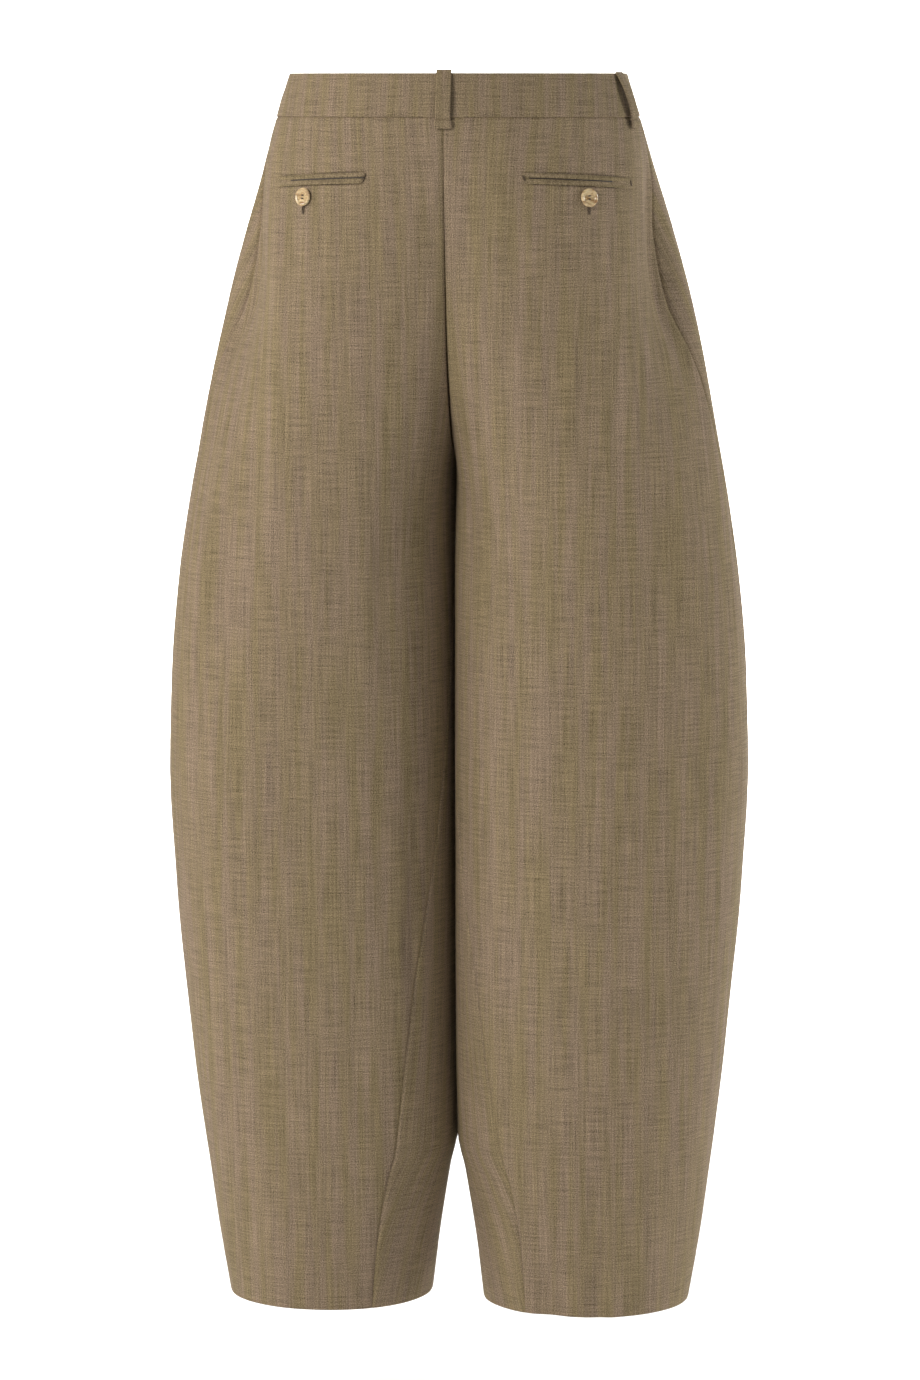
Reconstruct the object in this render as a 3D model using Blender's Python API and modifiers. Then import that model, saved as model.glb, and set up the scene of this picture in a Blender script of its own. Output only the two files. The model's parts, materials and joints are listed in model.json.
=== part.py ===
"""Barrel leg trousers in worn shape with nobody in them: four cloth panels, a waistband and its trims.

Metres, +Z up. The front faces -Y, the back faces +Y, and the wearer's left side is +X.
The origin is the middle of the waist ring, halfway up the waistband.

Every panel is a wall on one surface. A point of that surface is named by its row, which runs down
the section table, and by its turn, an angle round the leg that is 0 at the outermost point,
negative over the back and positive over the front.
"""

import math

import bmesh
import bpy
import numpy as np
from mathutils import Matrix, Vector

MM = 0.001

# Driving sizes, in millimetres
PANEL_CLOTH = 1.6
BAND_CLOTH = 2.4
BAND_PROUD = 0.5
TRIM_CLOTH = 1.2
SEAM_GAP = 0.3
LIFT = 0.3

# One row for each section of one leg, from the top of the waistband to the hem.
# side_z and edge_z: height at the outside and at the inner edge. half_width: middle to silhouette.
# hip_width: the same for the back panel, which hangs straight from the hip. The width goes from
# one to the other between the turns step_start and step_end, where the front panel swings out.
# leg_gap: middle to the inner edge. back_wrap and front_wrap: turn of the inner edge, 90 in the
# plain torso ring and 180 in a closed leg. side_seam: turn of the side seam towards the back.
# inseam_turn: turn of the inseam past the innermost point towards the back.
COLUMNS = (
    "side_z", "edge_z", "half_width", "hip_width", "step_start", "step_end", "leg_gap",
    "back_wrap", "front_wrap", "back_depth", "front_depth", "square", "side_seam", "inseam_turn",
)
SECTIONS = (
    (17.5, 17.5, 137.5, 137.5, -16, 5, 0.0, 90, 90, 98, 94, 2.15, 3, 0),
    (-17.5, -17.5, 148.5, 148.5, -16, 5, 0.0, 92, 90, 104, 100, 2.15, 3, 0),
    (-60, -58, 161.0, 158.5, -17, 4, 0.0, 99, 92, 105, 104, 2.25, 5, 0),
    (-110, -104, 176.5, 162.0, -18, 3, 0.0, 109, 98, 104, 106, 2.35, 8, 0),
    (-165, -152, 192.0, 165.5, -20, 3, 0.0, 118, 106, 102, 106, 2.40, 8, 0),
    (-225, -203, 205.0, 176.0, -32, 2, 0.0, 129, 122, 101, 104, 2.35, 6, 0),
    (-285, -250, 215.5, 191.0, -46, 0, 0.0, 145, 142, 100, 102, 2.30, 4, 0),
    (-340, -282, 224.0, 207.0, -56, -4, 0.2, 163, 163, 100, 101, 2.30, 3, 0),
    (-395, -300, 231.5, 221.0, -62, -8, 0.5, 180, 180, 100, 100, 2.30, 2, 0),
    (-470, -405, 238.0, 233.0, -64, -10, 0.5, 180, 180, 100, 100, 2.30, 2, 5),
    (-555, -525, 241.0, 240.5, -64, -10, 0.5, 180, 180, 100, 100, 2.30, 2, 15),
    (-645, -635, 236.5, 236.5, -64, -10, 0.5, 180, 180, 98, 98, 2.25, 2, 28),
    (-725, -722, 229.5, 229.5, -64, -10, 0.5, 180, 180, 95, 95, 2.25, 2, 40),
    (-800, -800, 222.0, 222.0, -64, -10, 0.5, 180, 180, 91, 91, 2.20, 2, 48),
    (-860, -860, 214.5, 214.5, -64, -10, 0.5, 180, 180, 87, 87, 2.15, 2, 54),
    (-895, -895, 209.5, 209.5, -64, -10, 7.0, 180, 180, 85, 85, 2.12, 2, 57),
    (-945, -945, 202.5, 202.5, -64, -10, 15.5, 180, 180, 82, 82, 2.10, 2, 59),
    (-1000, -1000, 193.0, 193.0, -64, -10, 22.5, 180, 180, 80, 80, 2.10, 2, 60),
)
BAND_TOP_ROW, WAIST_ROW, HEM_ROW = 0, 1, len(SECTIONS) - 1

# How strongly a row bends to its edge height: the power of the turn's share of the wrap
EDGE_BEND = 4

# Where the thighs press together their shared face leans: the right leg's back edge lies over the
# left leg. lean: greatest sideways move. lean_y: how far back it is reached. lean_x: how far from
# the middle plane it fades. The z values are its start, full, full and end heights.
LEAN, LEAN_Y, LEAN_X = 4.0, 34, 55
LEAN_Z = (-250, -400, -780, -905)

# Large soft folds. side: +1 left, -1 right, 0 both. Turns and width in degrees, z and height in mm.
FOLD_COLUMNS = ("side", "top_turn", "low_turn", "top_z", "low_z", "width", "height")
FOLDS = (
    (0, -9, -12, -25, -270, 5, -9),
    (0, -30, -42, -60, -560, 11, 3),
    (0, -58, -52, -180, -620, 14, -2.5),
    (-1, -112, -100, -840, -1100, 9, -4),
    (0, 62, 66, -420, -1060, 12, -4),
    (0, 96, 104, -300, -900, 12, 3),
)

# Trims, in millimetres and degrees of turn
LOOP_WIDTH, LOOP_CLOTH, LOOP_BULGE, LOOP_ARCH = 11.4, 1.6, 2.8, 0.8
LOOP_LOW, LOOP_OVERHANG = -26.5, 3
LOOP_COLUMNS = ("name", "side", "turn", "top_z")
LOOPS = (
    ("centre_back_loop", 1, -90, 20.4),
    ("side_loop_left", 1, 9, 16.9),
    ("side_loop_right", -1, -16, 18.6),
    ("front_loop_left", 1, 56, 16.9),
    ("front_loop_right", -1, 56, 16.9),
)
POCKET_INNER_TURN, POCKET_OUTER_TURN = -77, -28.5
POCKET_INNER_Z, POCKET_OUTER_Z, POCKET_SAG = -62, -66, 1.6
UPPER_JET, LOWER_JET, JET_GAP = 4.0, 4.6, 0.4
BACK_BUTTON_TURN, BACK_BUTTON_Z = -53.5, -81.6
FLY_WIDTH, FLY_LOW_Z, FLY_CURVE, FLY_TIP = 36, -172, 48, 1.5
TAB_LENGTH, TAB_RAMP = 30, 18
FRONT_BUTTON_X = 17

# Button, in millimetres
BUTTON_RADIUS, BUTTON_THICK, BUTTON_RIM = 7.5, 2.8, 1.5
HOLE_RADIUS, HOLE_SPACING = 0.95, 2.6
BUTTON_SEAT = 0.4

# Grid sizes
ROWS_A_SECTION = 2
BACK_COLUMNS, FRONT_COLUMNS = 14, 20
BAND_COLUMNS, BAND_ROWS = 24, 3
LOOP_ROWS, JET_COLUMNS, FLY_ROWS, FLY_COLUMNS, TAB_COLUMNS = 14, 12, 15, 5, 5
BACK_SPREAD, FRONT_SPREAD = 1.35, 1.25
TINY_ROW, TINY_TURN = 0.01, 0.002
SHARP_ANGLE = 50

CLOTH_COLOUR = (0.238, 0.184, 0.118)
TRIM_COLOUR = (0.205, 0.158, 0.100)
HORN_COLOUR = (0.610, 0.480, 0.270)


def slopes(table):
    """Row to row slopes that never overshoot: the harmonic mean of the steps on both sides."""
    steps = np.diff(table, axis=0)
    before, after = steps[:-1], steps[1:]
    total = before + after
    same_way = before * after > 0
    inner = np.where(same_way, 2 * before * after / np.where(same_way, total, 1), 0)
    return np.vstack([steps[:1], inner, steps[-1:]])


TABLE = np.array(SECTIONS, float)
TABLE_SLOPES = slopes(TABLE)


def section(row):
    """Each column of the section table at a row between its first and last, as a smooth curve."""
    row = np.clip(np.asarray(row, float), 0, HEM_ROW)
    low = np.minimum(row.astype(int), HEM_ROW - 1)
    f = (row - low)[..., None]
    start, end = TABLE[low], TABLE[low + 1]
    go, come = TABLE_SLOPES[low], TABLE_SLOPES[low + 1]
    value = ((1 + 2 * f) * (1 - f) ** 2 * start + f * (1 - f) ** 2 * go
             + f * f * (3 - 2 * f) * end + f * f * (f - 1) * come)
    return dict(zip(COLUMNS, np.moveaxis(value, -1, 0)))


def row_at(z):
    """The row whose outside lies at height z, in millimetres."""
    rows = np.linspace(0, HEM_ROW, 1601)
    return np.interp(-z, -section(rows)["side_z"], rows)


def smooth_step(value):
    value = np.clip(value, 0, 1)
    return value * value * (3 - 2 * value)


def signed_power(value, power):
    return np.sign(value) * np.abs(value) ** power


def fold_height(side, turn, z):
    """How far the folds of one side move a point out, in millimetres."""
    height = np.zeros(np.broadcast(turn, z).shape)
    for values in FOLDS:
        fold = dict(zip(FOLD_COLUMNS, values))
        if fold["side"] not in (0, side):
            continue
        share = np.clip((fold["top_z"] - z) / (fold["top_z"] - fold["low_z"]), 0, 1)
        middle = fold["top_turn"] + (fold["low_turn"] - fold["top_turn"]) * share
        across = np.exp(-(((np.degrees(turn) - middle) / fold["width"]) ** 2))
        height = height + fold["height"] * np.sin(math.pi * share) ** 2 * across
    return height


def leg_lean(x, y, z):
    """How far a point near the middle plane moves towards the left leg, in millimetres."""
    start, full, still_full, end = LEAN_Z
    share = smooth_step((start - z) / (start - full)) * smooth_step((z - end) / (still_full - end))
    return LEAN * share * np.tanh(y / LEAN_Y) * np.exp(-((x / LEAN_X) ** 2))


def surface(side, row, turn):
    """Points of one leg's outer surface, in millimetres, for arrays of rows and turns in radians.

    Each section is two half superellipses about a centre that moves from the body's middle plane,
    in the torso, to the middle of the leg. side is +1 for the left leg and -1 for the right.
    """
    row, turn = np.broadcast_arrays(np.asarray(row, float), np.asarray(turn, float))
    turn = np.where(turn > math.pi, turn - 2 * math.pi, turn)
    at = section(row)
    back = turn < 0
    power = 2 / at["square"]
    wrap = np.radians(np.where(back, at["back_wrap"], at["front_wrap"]))
    depth = np.where(back, at["back_depth"], at["front_depth"])
    step = smooth_step((np.degrees(turn) - at["step_start"]) / (at["step_end"] - at["step_start"]))
    width = at["hip_width"] + (at["half_width"] - at["hip_width"]) * step
    reach = -signed_power(np.cos(wrap), power)
    radius = (width - at["leg_gap"]) / (1 + reach)
    centre = width - radius
    across = signed_power(np.cos(turn), power)
    along = signed_power(np.sin(turn), power)
    share = np.clip(np.abs(turn) / wrap, 0, 1)
    bend = share**EDGE_BEND
    z = at["side_z"] + (at["edge_z"] - at["side_z"]) * bend
    out = fold_height(side, turn, z) * np.where(at["leg_gap"] > 1, 1, 1 - bend)
    x = side * (centre + radius * across + out * np.cos(turn))
    y = -depth * along - out * np.sin(turn)
    return np.stack([x + leg_lean(x, y, z), y, z], axis=-1)


def normals(side, row, turn, level_ends=True):
    """Outward unit normals of the surface, turned level at the waist seam and at the hem if asked."""
    down = surface(side, row + TINY_ROW, turn) - surface(side, row - TINY_ROW, turn)
    round_leg = surface(side, row, turn + TINY_TURN) - surface(side, row, turn - TINY_TURN)
    normal = side * np.cross(round_leg, down)
    if level_ends:
        nearest_end = np.minimum(np.abs(row - WAIST_ROW), HEM_ROW - row)
        normal[..., 2] *= np.clip(nearest_end, 0, 1)
    return normal / np.linalg.norm(normal, axis=-1, keepdims=True)


def material(name, colour, roughness):
    made = bpy.data.materials.new(name)
    made.use_nodes = True
    shader = made.node_tree.nodes["Principled BSDF"]
    shader.inputs["Base Color"].default_value = (*colour, 1)
    shader.inputs["Roughness"].default_value = roughness
    shader.inputs["Metallic"].default_value = 0
    return made


def cloth_wall(name, outer, outward, thick, parts, colour=CLOTH_COLOUR, lift=0.0):
    """A closed wall from a grid of points: its outer face, its inner face and the rim between."""
    outer = outer + outward * lift
    inner = outer - outward * thick
    down, across = outer.shape[:2]
    points = np.concatenate([outer.reshape(-1, 3), inner.reshape(-1, 3)]) * MM
    grid = np.arange(down * across).reshape(down, across)
    corners = [grid[:-1, :-1], grid[:-1, 1:], grid[1:, 1:], grid[1:, :-1]]
    face = np.stack(corners, axis=-1).reshape(-1, 4)
    border = np.concatenate([grid[0, :], grid[1:, -1], grid[-1, -2::-1], grid[-2:0:-1, 0]])
    following = np.roll(border, -1)
    below = down * across
    rim = np.stack([border, border + below, following + below, following], axis=-1)
    faces = np.concatenate([face, face[:, ::-1] + below, rim])
    mesh = bpy.data.meshes.new(name)
    mesh.from_pydata(points.tolist(), [], faces.tolist())
    made = bmesh.new()
    made.from_mesh(mesh)
    bmesh.ops.recalc_face_normals(made, faces=made.faces)
    made.to_mesh(mesh)
    made.free()
    mesh.shade_smooth()
    mesh.set_sharp_from_angle(angle=math.radians(SHARP_ANGLE))
    mesh.materials.append(material(name + "_cloth", colour, 0.85))
    piece = bpy.data.objects.new(name, mesh)
    parts.objects.link(piece)
    return piece


def inset(side, rows, turns):
    """The turns of a grid with its first and last column moved in by half a seam gap."""
    turns = turns.copy()
    way = np.sign(turns[:, 1] - turns[:, 0])
    for column, step in ((0, TINY_TURN * way), (-1, -TINY_TURN * way)):
        here = surface(side, rows[:, 0], turns[:, column])
        beside = surface(side, rows[:, 0], turns[:, column] + step)
        turns[:, column] += step * (SEAM_GAP / 2) / np.linalg.norm(beside - here, axis=-1)
    return turns


def panel_rows():
    waist = WAIST_ROW + SEAM_GAP / 2 / (TABLE[WAIST_ROW, 0] - TABLE[WAIST_ROW + 1, 0])
    rows = np.linspace(WAIST_ROW, HEM_ROW, (HEM_ROW - WAIST_ROW) * ROWS_A_SECTION + 1)
    rows[0] = waist
    return rows[:, None]


def back_panel(name, side, parts):
    """From the side seam round the back to the centre seam, and below the crotch to the inseam."""
    rows = panel_rows()
    at = section(rows)
    start, end = -at["side_seam"], -(at["back_wrap"] - at["inseam_turn"])
    spread = np.linspace(0, 1, BACK_COLUMNS + 1) ** BACK_SPREAD
    turns = inset(side, rows, np.radians(start + (end - start) * spread))
    rows = np.broadcast_to(rows, turns.shape)
    outer, outward = surface(side, rows, turns), normals(side, rows, turns)
    return cloth_wall(name, outer, outward, PANEL_CLOTH, parts)


def front_panel(name, side, parts):
    """From the side seam round the front to the centre seam, and below the crotch to the inseam."""
    rows = panel_rows()
    at = section(rows)
    start, end = -at["side_seam"], at["front_wrap"] + at["inseam_turn"]
    spread = np.linspace(0, 1, FRONT_COLUMNS + 1) ** FRONT_SPREAD
    turns = inset(side, rows, np.radians(start + (end - start) * spread))
    rows = np.broadcast_to(rows, turns.shape)
    outer, outward = surface(side, rows, turns), normals(side, rows, turns)
    return cloth_wall(name, outer, outward, PANEL_CLOTH, parts)


def turn_at_front(row, x):
    """The turn at which the front of a torso section lies x millimetres from the middle plane."""
    turns = np.radians(np.linspace(30, float(section(row)["front_wrap"]), 601))
    return np.interp(-x, -surface(1, np.full_like(turns, row), turns)[:, 0], turns)


def waistband(name, side, parts):
    """Half of the band, from the centre back to the centre front. The right half laps over."""
    rows = np.linspace(BAND_TOP_ROW, WAIST_ROW, BAND_ROWS + 1)[:, None]
    rows[-1] -= SEAM_GAP / 2 / (TABLE[BAND_TOP_ROW, 0] - TABLE[WAIST_ROW, 0])
    at = section(rows)
    share = np.linspace(0, 1, BAND_COLUMNS + 1)
    turns = np.radians(-at["back_wrap"] + (at["back_wrap"] + at["front_wrap"]) * share)
    turns = inset(side, rows, turns)
    grid_rows = np.broadcast_to(rows, turns.shape)
    outer, outward = surface(side, grid_rows, turns), normals(side, grid_rows, turns)
    outward[..., 2] = 0
    outward /= np.linalg.norm(outward, axis=-1, keepdims=True)
    outer = outer + outward * BAND_PROUD
    if side < 0:
        past = np.linspace(0, TAB_LENGTH, TAB_COLUMNS + 1)[1:]
        tab_turns = np.array([[turn_at_front(row, x) for x in past] for row in rows[:, 0]])
        tab_rows = np.broadcast_to(rows, tab_turns.shape)
        tab, tab_out = surface(1, tab_rows, tab_turns), normals(1, tab_rows, tab_turns)
        tab_out[..., 2] = 0
        tab_out /= np.linalg.norm(tab_out, axis=-1, keepdims=True)
        outer = np.concatenate([outer, tab + tab_out * BAND_PROUD], axis=1)
        outward = np.concatenate([outward, tab_out], axis=1)
        front = outer[..., 1] < 0
        ramp = smooth_step((outer[..., 0] + TAB_RAMP) / (TAB_RAMP - 2)) * front
        outer = outer + outward * (ramp * (BAND_CLOTH + LIFT))[..., None]
    return cloth_wall(name, outer, outward, BAND_CLOTH, parts)


def belt_loop(name, side, turn, top_z, parts):
    """A strip that is sewn down at both ends and stands off the band between them."""
    turn = math.radians(turn)
    z = np.linspace(top_z, LOOP_LOW, LOOP_ROWS + 1)
    rows = row_at(np.minimum(z, TABLE[BAND_TOP_ROW, 0]))[:, None]
    ahead, behind = surface(side, rows, turn + TINY_TURN), surface(side, rows, turn - TINY_TURN)
    across = np.array([[-0.5, 0.0, 0.5]]) * LOOP_WIDTH
    turns = turn + across * 2 * TINY_TURN / np.linalg.norm(ahead - behind, axis=-1)
    rows = np.broadcast_to(rows, turns.shape)
    outer, outward = surface(side, rows, turns), normals(side, rows, turns)
    outward[..., 2] = 0
    outward /= np.linalg.norm(outward, axis=-1, keepdims=True)
    if turn == -math.pi / 2:
        outer[..., 0] = across
        outward[...] = (0, 1, 0)
    outer[..., 2] = z[:, None]
    share = (top_z - z) / (top_z - LOOP_LOW)
    on_band = smooth_step((z - TABLE[WAIST_ROW, 0] + LOOP_OVERHANG) / LOOP_OVERHANG) * BAND_PROUD
    lift = on_band + LIFT + LOOP_BULGE * np.sin(math.pi * share) ** LOOP_ARCH + LOOP_CLOTH
    outer = outer + outward * lift[:, None, None]
    return cloth_wall(name, outer, outward, LOOP_CLOTH, parts, TRIM_COLOUR)


def pocket_jet(name, side, top, bottom, parts):
    """One folded strip of a jetted back pocket, its edges given in millimetres below the mouth."""
    share = np.linspace(0, 1, JET_COLUMNS + 1)[None, :]
    turns = np.radians(POCKET_INNER_TURN + (POCKET_OUTER_TURN - POCKET_INNER_TURN) * share)
    middle = POCKET_INNER_Z + (POCKET_OUTER_Z - POCKET_INNER_Z) * share**POCKET_SAG
    heights = middle - np.linspace(top, bottom, 3)[:, None]
    rows = row_at(heights)
    turns = np.broadcast_to(turns, rows.shape)
    outer, outward = surface(side, rows, turns), normals(side, rows, turns)
    return cloth_wall(name, outer, outward, TRIM_CLOTH, parts, TRIM_COLOUR, LIFT + TRIM_CLOTH)


def fly(name, side, parts):
    """The lap over the front fastening: a strip along the centre front that ends in a curve."""
    z = np.linspace(TABLE[WAIST_ROW, 0] - SEAM_GAP, FLY_LOW_Z, FLY_ROWS + 1)
    rows = row_at(z)[:, None]
    past_curve = np.clip((FLY_LOW_Z + FLY_CURVE - z) / FLY_CURVE, 0, 1)
    width = np.maximum(FLY_WIDTH * np.sqrt(1 - past_curve**2), FLY_TIP)
    share = np.linspace(1, 0, FLY_COLUMNS + 1)
    edge = SEAM_GAP / 2
    turns = [[turn_at_front(row, edge + wide * part) for part in share]
             for row, wide in zip(rows[:, 0], width)]
    turns = np.array(turns)
    rows = np.broadcast_to(rows, turns.shape)
    outer, outward = surface(side, rows, turns), normals(side, rows, turns)
    return cloth_wall(name, outer, outward, TRIM_CLOTH, parts, CLOTH_COLOUR, LIFT + TRIM_CLOTH)


def cylinder_cutter(name, radius, depth, place, cutters):
    bpy.ops.mesh.primitive_cylinder_add(vertices=14, radius=radius, depth=depth)
    cutter = bpy.context.object
    cutter.name = name
    for owner in list(cutter.users_collection):
        owner.objects.unlink(cutter)
    cutters.objects.link(cutter)
    cutter.matrix_world = place
    cutter.hide_render = True
    cutter.display_type = "WIRE"
    return cutter


def facing(point, outward):
    """A placement whose Z axis points outward and whose Y axis leans up, for a point in mm."""
    z_axis = Vector(outward).normalized()
    x_axis = Vector((0, 0, 1)).cross(z_axis).normalized()
    y_axis = z_axis.cross(x_axis)
    place = Matrix((x_axis, y_axis, z_axis)).transposed().to_4x4()
    place.translation = Vector(point) * MM
    return place


def button(name, point, outward, parts, cutters):
    """A turned button with a raised rim, a dished middle and four holes."""
    r, t, rim = BUTTON_RADIUS, BUTTON_THICK, BUTTON_RIM
    dish = r - 2 * rim
    profile = [(0, 0.62 * t), (dish, 0.66 * t), (dish + 0.7, 0.9 * t), (r - rim + 0.2, t),
               (r - 0.5, 0.86 * t), (r, 0.55 * t), (r - 0.6, 0.2 * t), (r - 2, 0), (0, 0)]
    mesh = bpy.data.meshes.new(name)
    points = [(x * MM, 0, z * MM) for x, z in profile]
    mesh.from_pydata(points, [(i, i + 1) for i in range(len(points) - 1)], [])
    piece = bpy.data.objects.new(name, mesh)
    parts.objects.link(piece)
    piece.matrix_world = facing(point, outward)
    turned = piece.modifiers.new("turn", "SCREW")
    turned.steps = turned.render_steps = 30
    turned.use_merge_vertices = True
    turned.merge_threshold = 0.00002
    turned.use_smooth_shade = True
    half = HOLE_SPACING / 2
    for number, (x, y) in enumerate(((-half, -half), (half, -half), (half, half), (-half, half))):
        place = piece.matrix_world.copy()
        place.translation = place @ Vector((x, y, t / 2)) * MM
        cutter = cylinder_cutter(f"{name}_hole_{number}", HOLE_RADIUS * MM, 3 * t * MM, place, cutters)
        cut = piece.modifiers.new(f"hole_{number}", "BOOLEAN")
        cut.object = cutter
        cut.operation = "DIFFERENCE"
    mesh.materials.append(material(name + "_horn", HORN_COLOUR, 0.3))
    return piece


def clear_scene():
    for old in list(bpy.data.objects):
        bpy.data.objects.remove(old, do_unlink=True)


def main():
    clear_scene()
    parts = bpy.data.collections.new("barrel_leg_trousers")
    cutters = bpy.data.collections.new("cutters")
    for group in (parts, cutters):
        bpy.context.scene.collection.children.link(group)
    for word, side in (("left", 1), ("right", -1)):
        back_panel(f"back_{word}", side, parts)
        front_panel(f"front_{word}", side, parts)
        waistband(f"waistband_{word}", side, parts)
        pocket_jet(f"pocket_upper_jet_{word}", side, 0, UPPER_JET, parts)
        lower_top = UPPER_JET + JET_GAP
        pocket_jet(f"pocket_lower_jet_{word}", side, lower_top, lower_top + LOWER_JET, parts)
        row, turn = row_at(BACK_BUTTON_Z), np.radians(BACK_BUTTON_TURN)
        point, outward = surface(side, row, turn), normals(side, row, turn, False)
        button(f"back_button_{word}", point + outward * BUTTON_SEAT, outward, parts, cutters)
    for values in LOOPS:
        loop = dict(zip(LOOP_COLUMNS, values))
        belt_loop(loop["name"], loop["side"], loop["turn"], loop["top_z"], parts)
    fly("fly_lap", -1, parts)
    tab_row = (BAND_TOP_ROW + WAIST_ROW) / 2
    tab_turn = turn_at_front(tab_row, FRONT_BUTTON_X)
    point, outward = surface(1, tab_row, tab_turn), normals(1, tab_row, tab_turn, False)
    seat = BAND_PROUD + BAND_CLOTH + LIFT + BUTTON_SEAT
    button("front_button", point + outward * seat, outward, parts, cutters)


main()
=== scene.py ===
"""Barrel leg trousers seen from behind, worn shape with nobody in them.

Thin wool panels, waistband, loops, jetted pockets, fly, horn buttons and stitching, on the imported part.
Lengths in the tables and functions are millimetres. The front faces -Y and the wearer's left is +X.
"""

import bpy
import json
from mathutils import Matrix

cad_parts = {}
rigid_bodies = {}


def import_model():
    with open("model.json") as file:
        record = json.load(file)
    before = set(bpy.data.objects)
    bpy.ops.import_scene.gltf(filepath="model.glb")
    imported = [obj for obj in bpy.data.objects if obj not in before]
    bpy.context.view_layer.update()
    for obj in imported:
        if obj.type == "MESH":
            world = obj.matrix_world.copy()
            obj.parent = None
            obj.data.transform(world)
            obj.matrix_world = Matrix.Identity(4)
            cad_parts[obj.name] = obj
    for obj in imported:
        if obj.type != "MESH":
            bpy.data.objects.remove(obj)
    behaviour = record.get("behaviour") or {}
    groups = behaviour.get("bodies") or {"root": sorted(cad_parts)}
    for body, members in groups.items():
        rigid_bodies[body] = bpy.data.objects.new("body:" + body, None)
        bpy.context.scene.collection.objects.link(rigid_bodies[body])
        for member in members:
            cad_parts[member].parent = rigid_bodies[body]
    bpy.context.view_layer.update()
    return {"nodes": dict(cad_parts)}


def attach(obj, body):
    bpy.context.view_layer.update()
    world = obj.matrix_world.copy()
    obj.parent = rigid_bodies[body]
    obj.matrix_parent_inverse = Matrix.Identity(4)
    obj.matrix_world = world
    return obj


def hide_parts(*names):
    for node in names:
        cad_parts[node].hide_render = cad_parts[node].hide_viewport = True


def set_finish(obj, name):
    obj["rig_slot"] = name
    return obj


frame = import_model()

import json
import math

import bpy
import numpy as np
from mathutils import Matrix, Vector

bl_info = {
    "name": "Barrel Leg Trousers",
    "version": (1, 0, 0),
    "blender": (4, 5, 0),
    "location": "3D View > Sidebar > Garment",
    "description": "Builds barrel leg trousers from soft thin cloth panels and their trims",
    "category": "Object",
}

MM = 0.001

# One row for each section of one leg, from the top of the waistband to the hem.
# side_z and edge_z: height at the outside and at the inner edge. half_width: middle to silhouette.
# hip_width: the same for the back panel, which hangs straight from the hip. The width goes from
# one to the other between the turns step_start and step_end, where the front panel swings out.
# leg_gap: middle to the inner edge. back_wrap and front_wrap: turn of the inner edge, 90 in the
# plain torso ring and 180 in a closed leg. side_seam: turn of the side seam towards the back.
# inseam_turn: turn of the inseam past the innermost point towards the back.
COLUMNS = (
    "side_z", "edge_z", "half_width", "hip_width", "step_start", "step_end", "leg_gap",
    "back_wrap", "front_wrap", "back_depth", "front_depth", "square", "side_seam", "inseam_turn",
)
SECTIONS = (
    (17.5, 17.5, 137.5, 137.5, -16, 5, 0.0, 90, 90, 98, 94, 2.15, 3, 0),
    (-17.5, -17.5, 148.5, 148.5, -16, 5, 0.0, 92, 90, 104, 100, 2.15, 3, 0),
    (-60, -58, 161.0, 158.5, -17, 4, 0.0, 99, 92, 105, 104, 2.25, 5, 0),
    (-110, -104, 176.5, 162.0, -18, 3, 0.0, 109, 98, 104, 106, 2.35, 8, 0),
    (-165, -152, 192.0, 165.5, -20, 3, 0.0, 118, 106, 102, 106, 2.40, 8, 0),
    (-225, -203, 205.0, 176.0, -32, 2, 0.0, 129, 122, 101, 104, 2.35, 6, 0),
    (-285, -250, 215.5, 191.0, -46, 0, 0.0, 145, 142, 100, 102, 2.30, 4, 0),
    (-340, -282, 224.0, 207.0, -56, -4, 0.2, 163, 163, 100, 101, 2.30, 3, 0),
    (-395, -300, 231.5, 221.0, -62, -8, 0.5, 180, 180, 100, 100, 2.30, 2, 0),
    (-470, -405, 238.0, 233.0, -64, -10, 0.5, 180, 180, 100, 100, 2.30, 2, 5),
    (-555, -525, 241.0, 240.5, -64, -10, 0.5, 180, 180, 100, 100, 2.30, 2, 15),
    (-645, -635, 236.5, 236.5, -64, -10, 0.5, 180, 180, 98, 98, 2.25, 2, 28),
    (-725, -722, 229.5, 229.5, -64, -10, 0.5, 180, 180, 95, 95, 2.25, 2, 40),
    (-800, -800, 222.0, 222.0, -64, -10, 0.5, 180, 180, 91, 91, 2.20, 2, 48),
    (-860, -860, 214.5, 214.5, -64, -10, 0.5, 180, 180, 87, 87, 2.15, 2, 54),
    (-895, -895, 209.5, 209.5, -64, -10, 7.0, 180, 180, 85, 85, 2.12, 2, 57),
    (-945, -945, 202.5, 202.5, -64, -10, 15.5, 180, 180, 82, 82, 2.10, 2, 59),
    (-1000, -1000, 193.0, 193.0, -64, -10, 22.5, 180, 180, 80, 80, 2.10, 2, 60),
)
BAND_TOP_ROW, WAIST_ROW, HEM_ROW = 0, 1, len(SECTIONS) - 1
BAND_TOP, WAIST_Z, HEM_Z = 17.5, -17.5, -1000.0
EDGE_BEND = 4

# The shared face of the thighs leans, so that the right leg's back edge lies over the left leg.
LEAN, LEAN_Y, LEAN_X = 4.0, 34, 55
LEAN_Z = (-250, -400, -780, -905)

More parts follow.
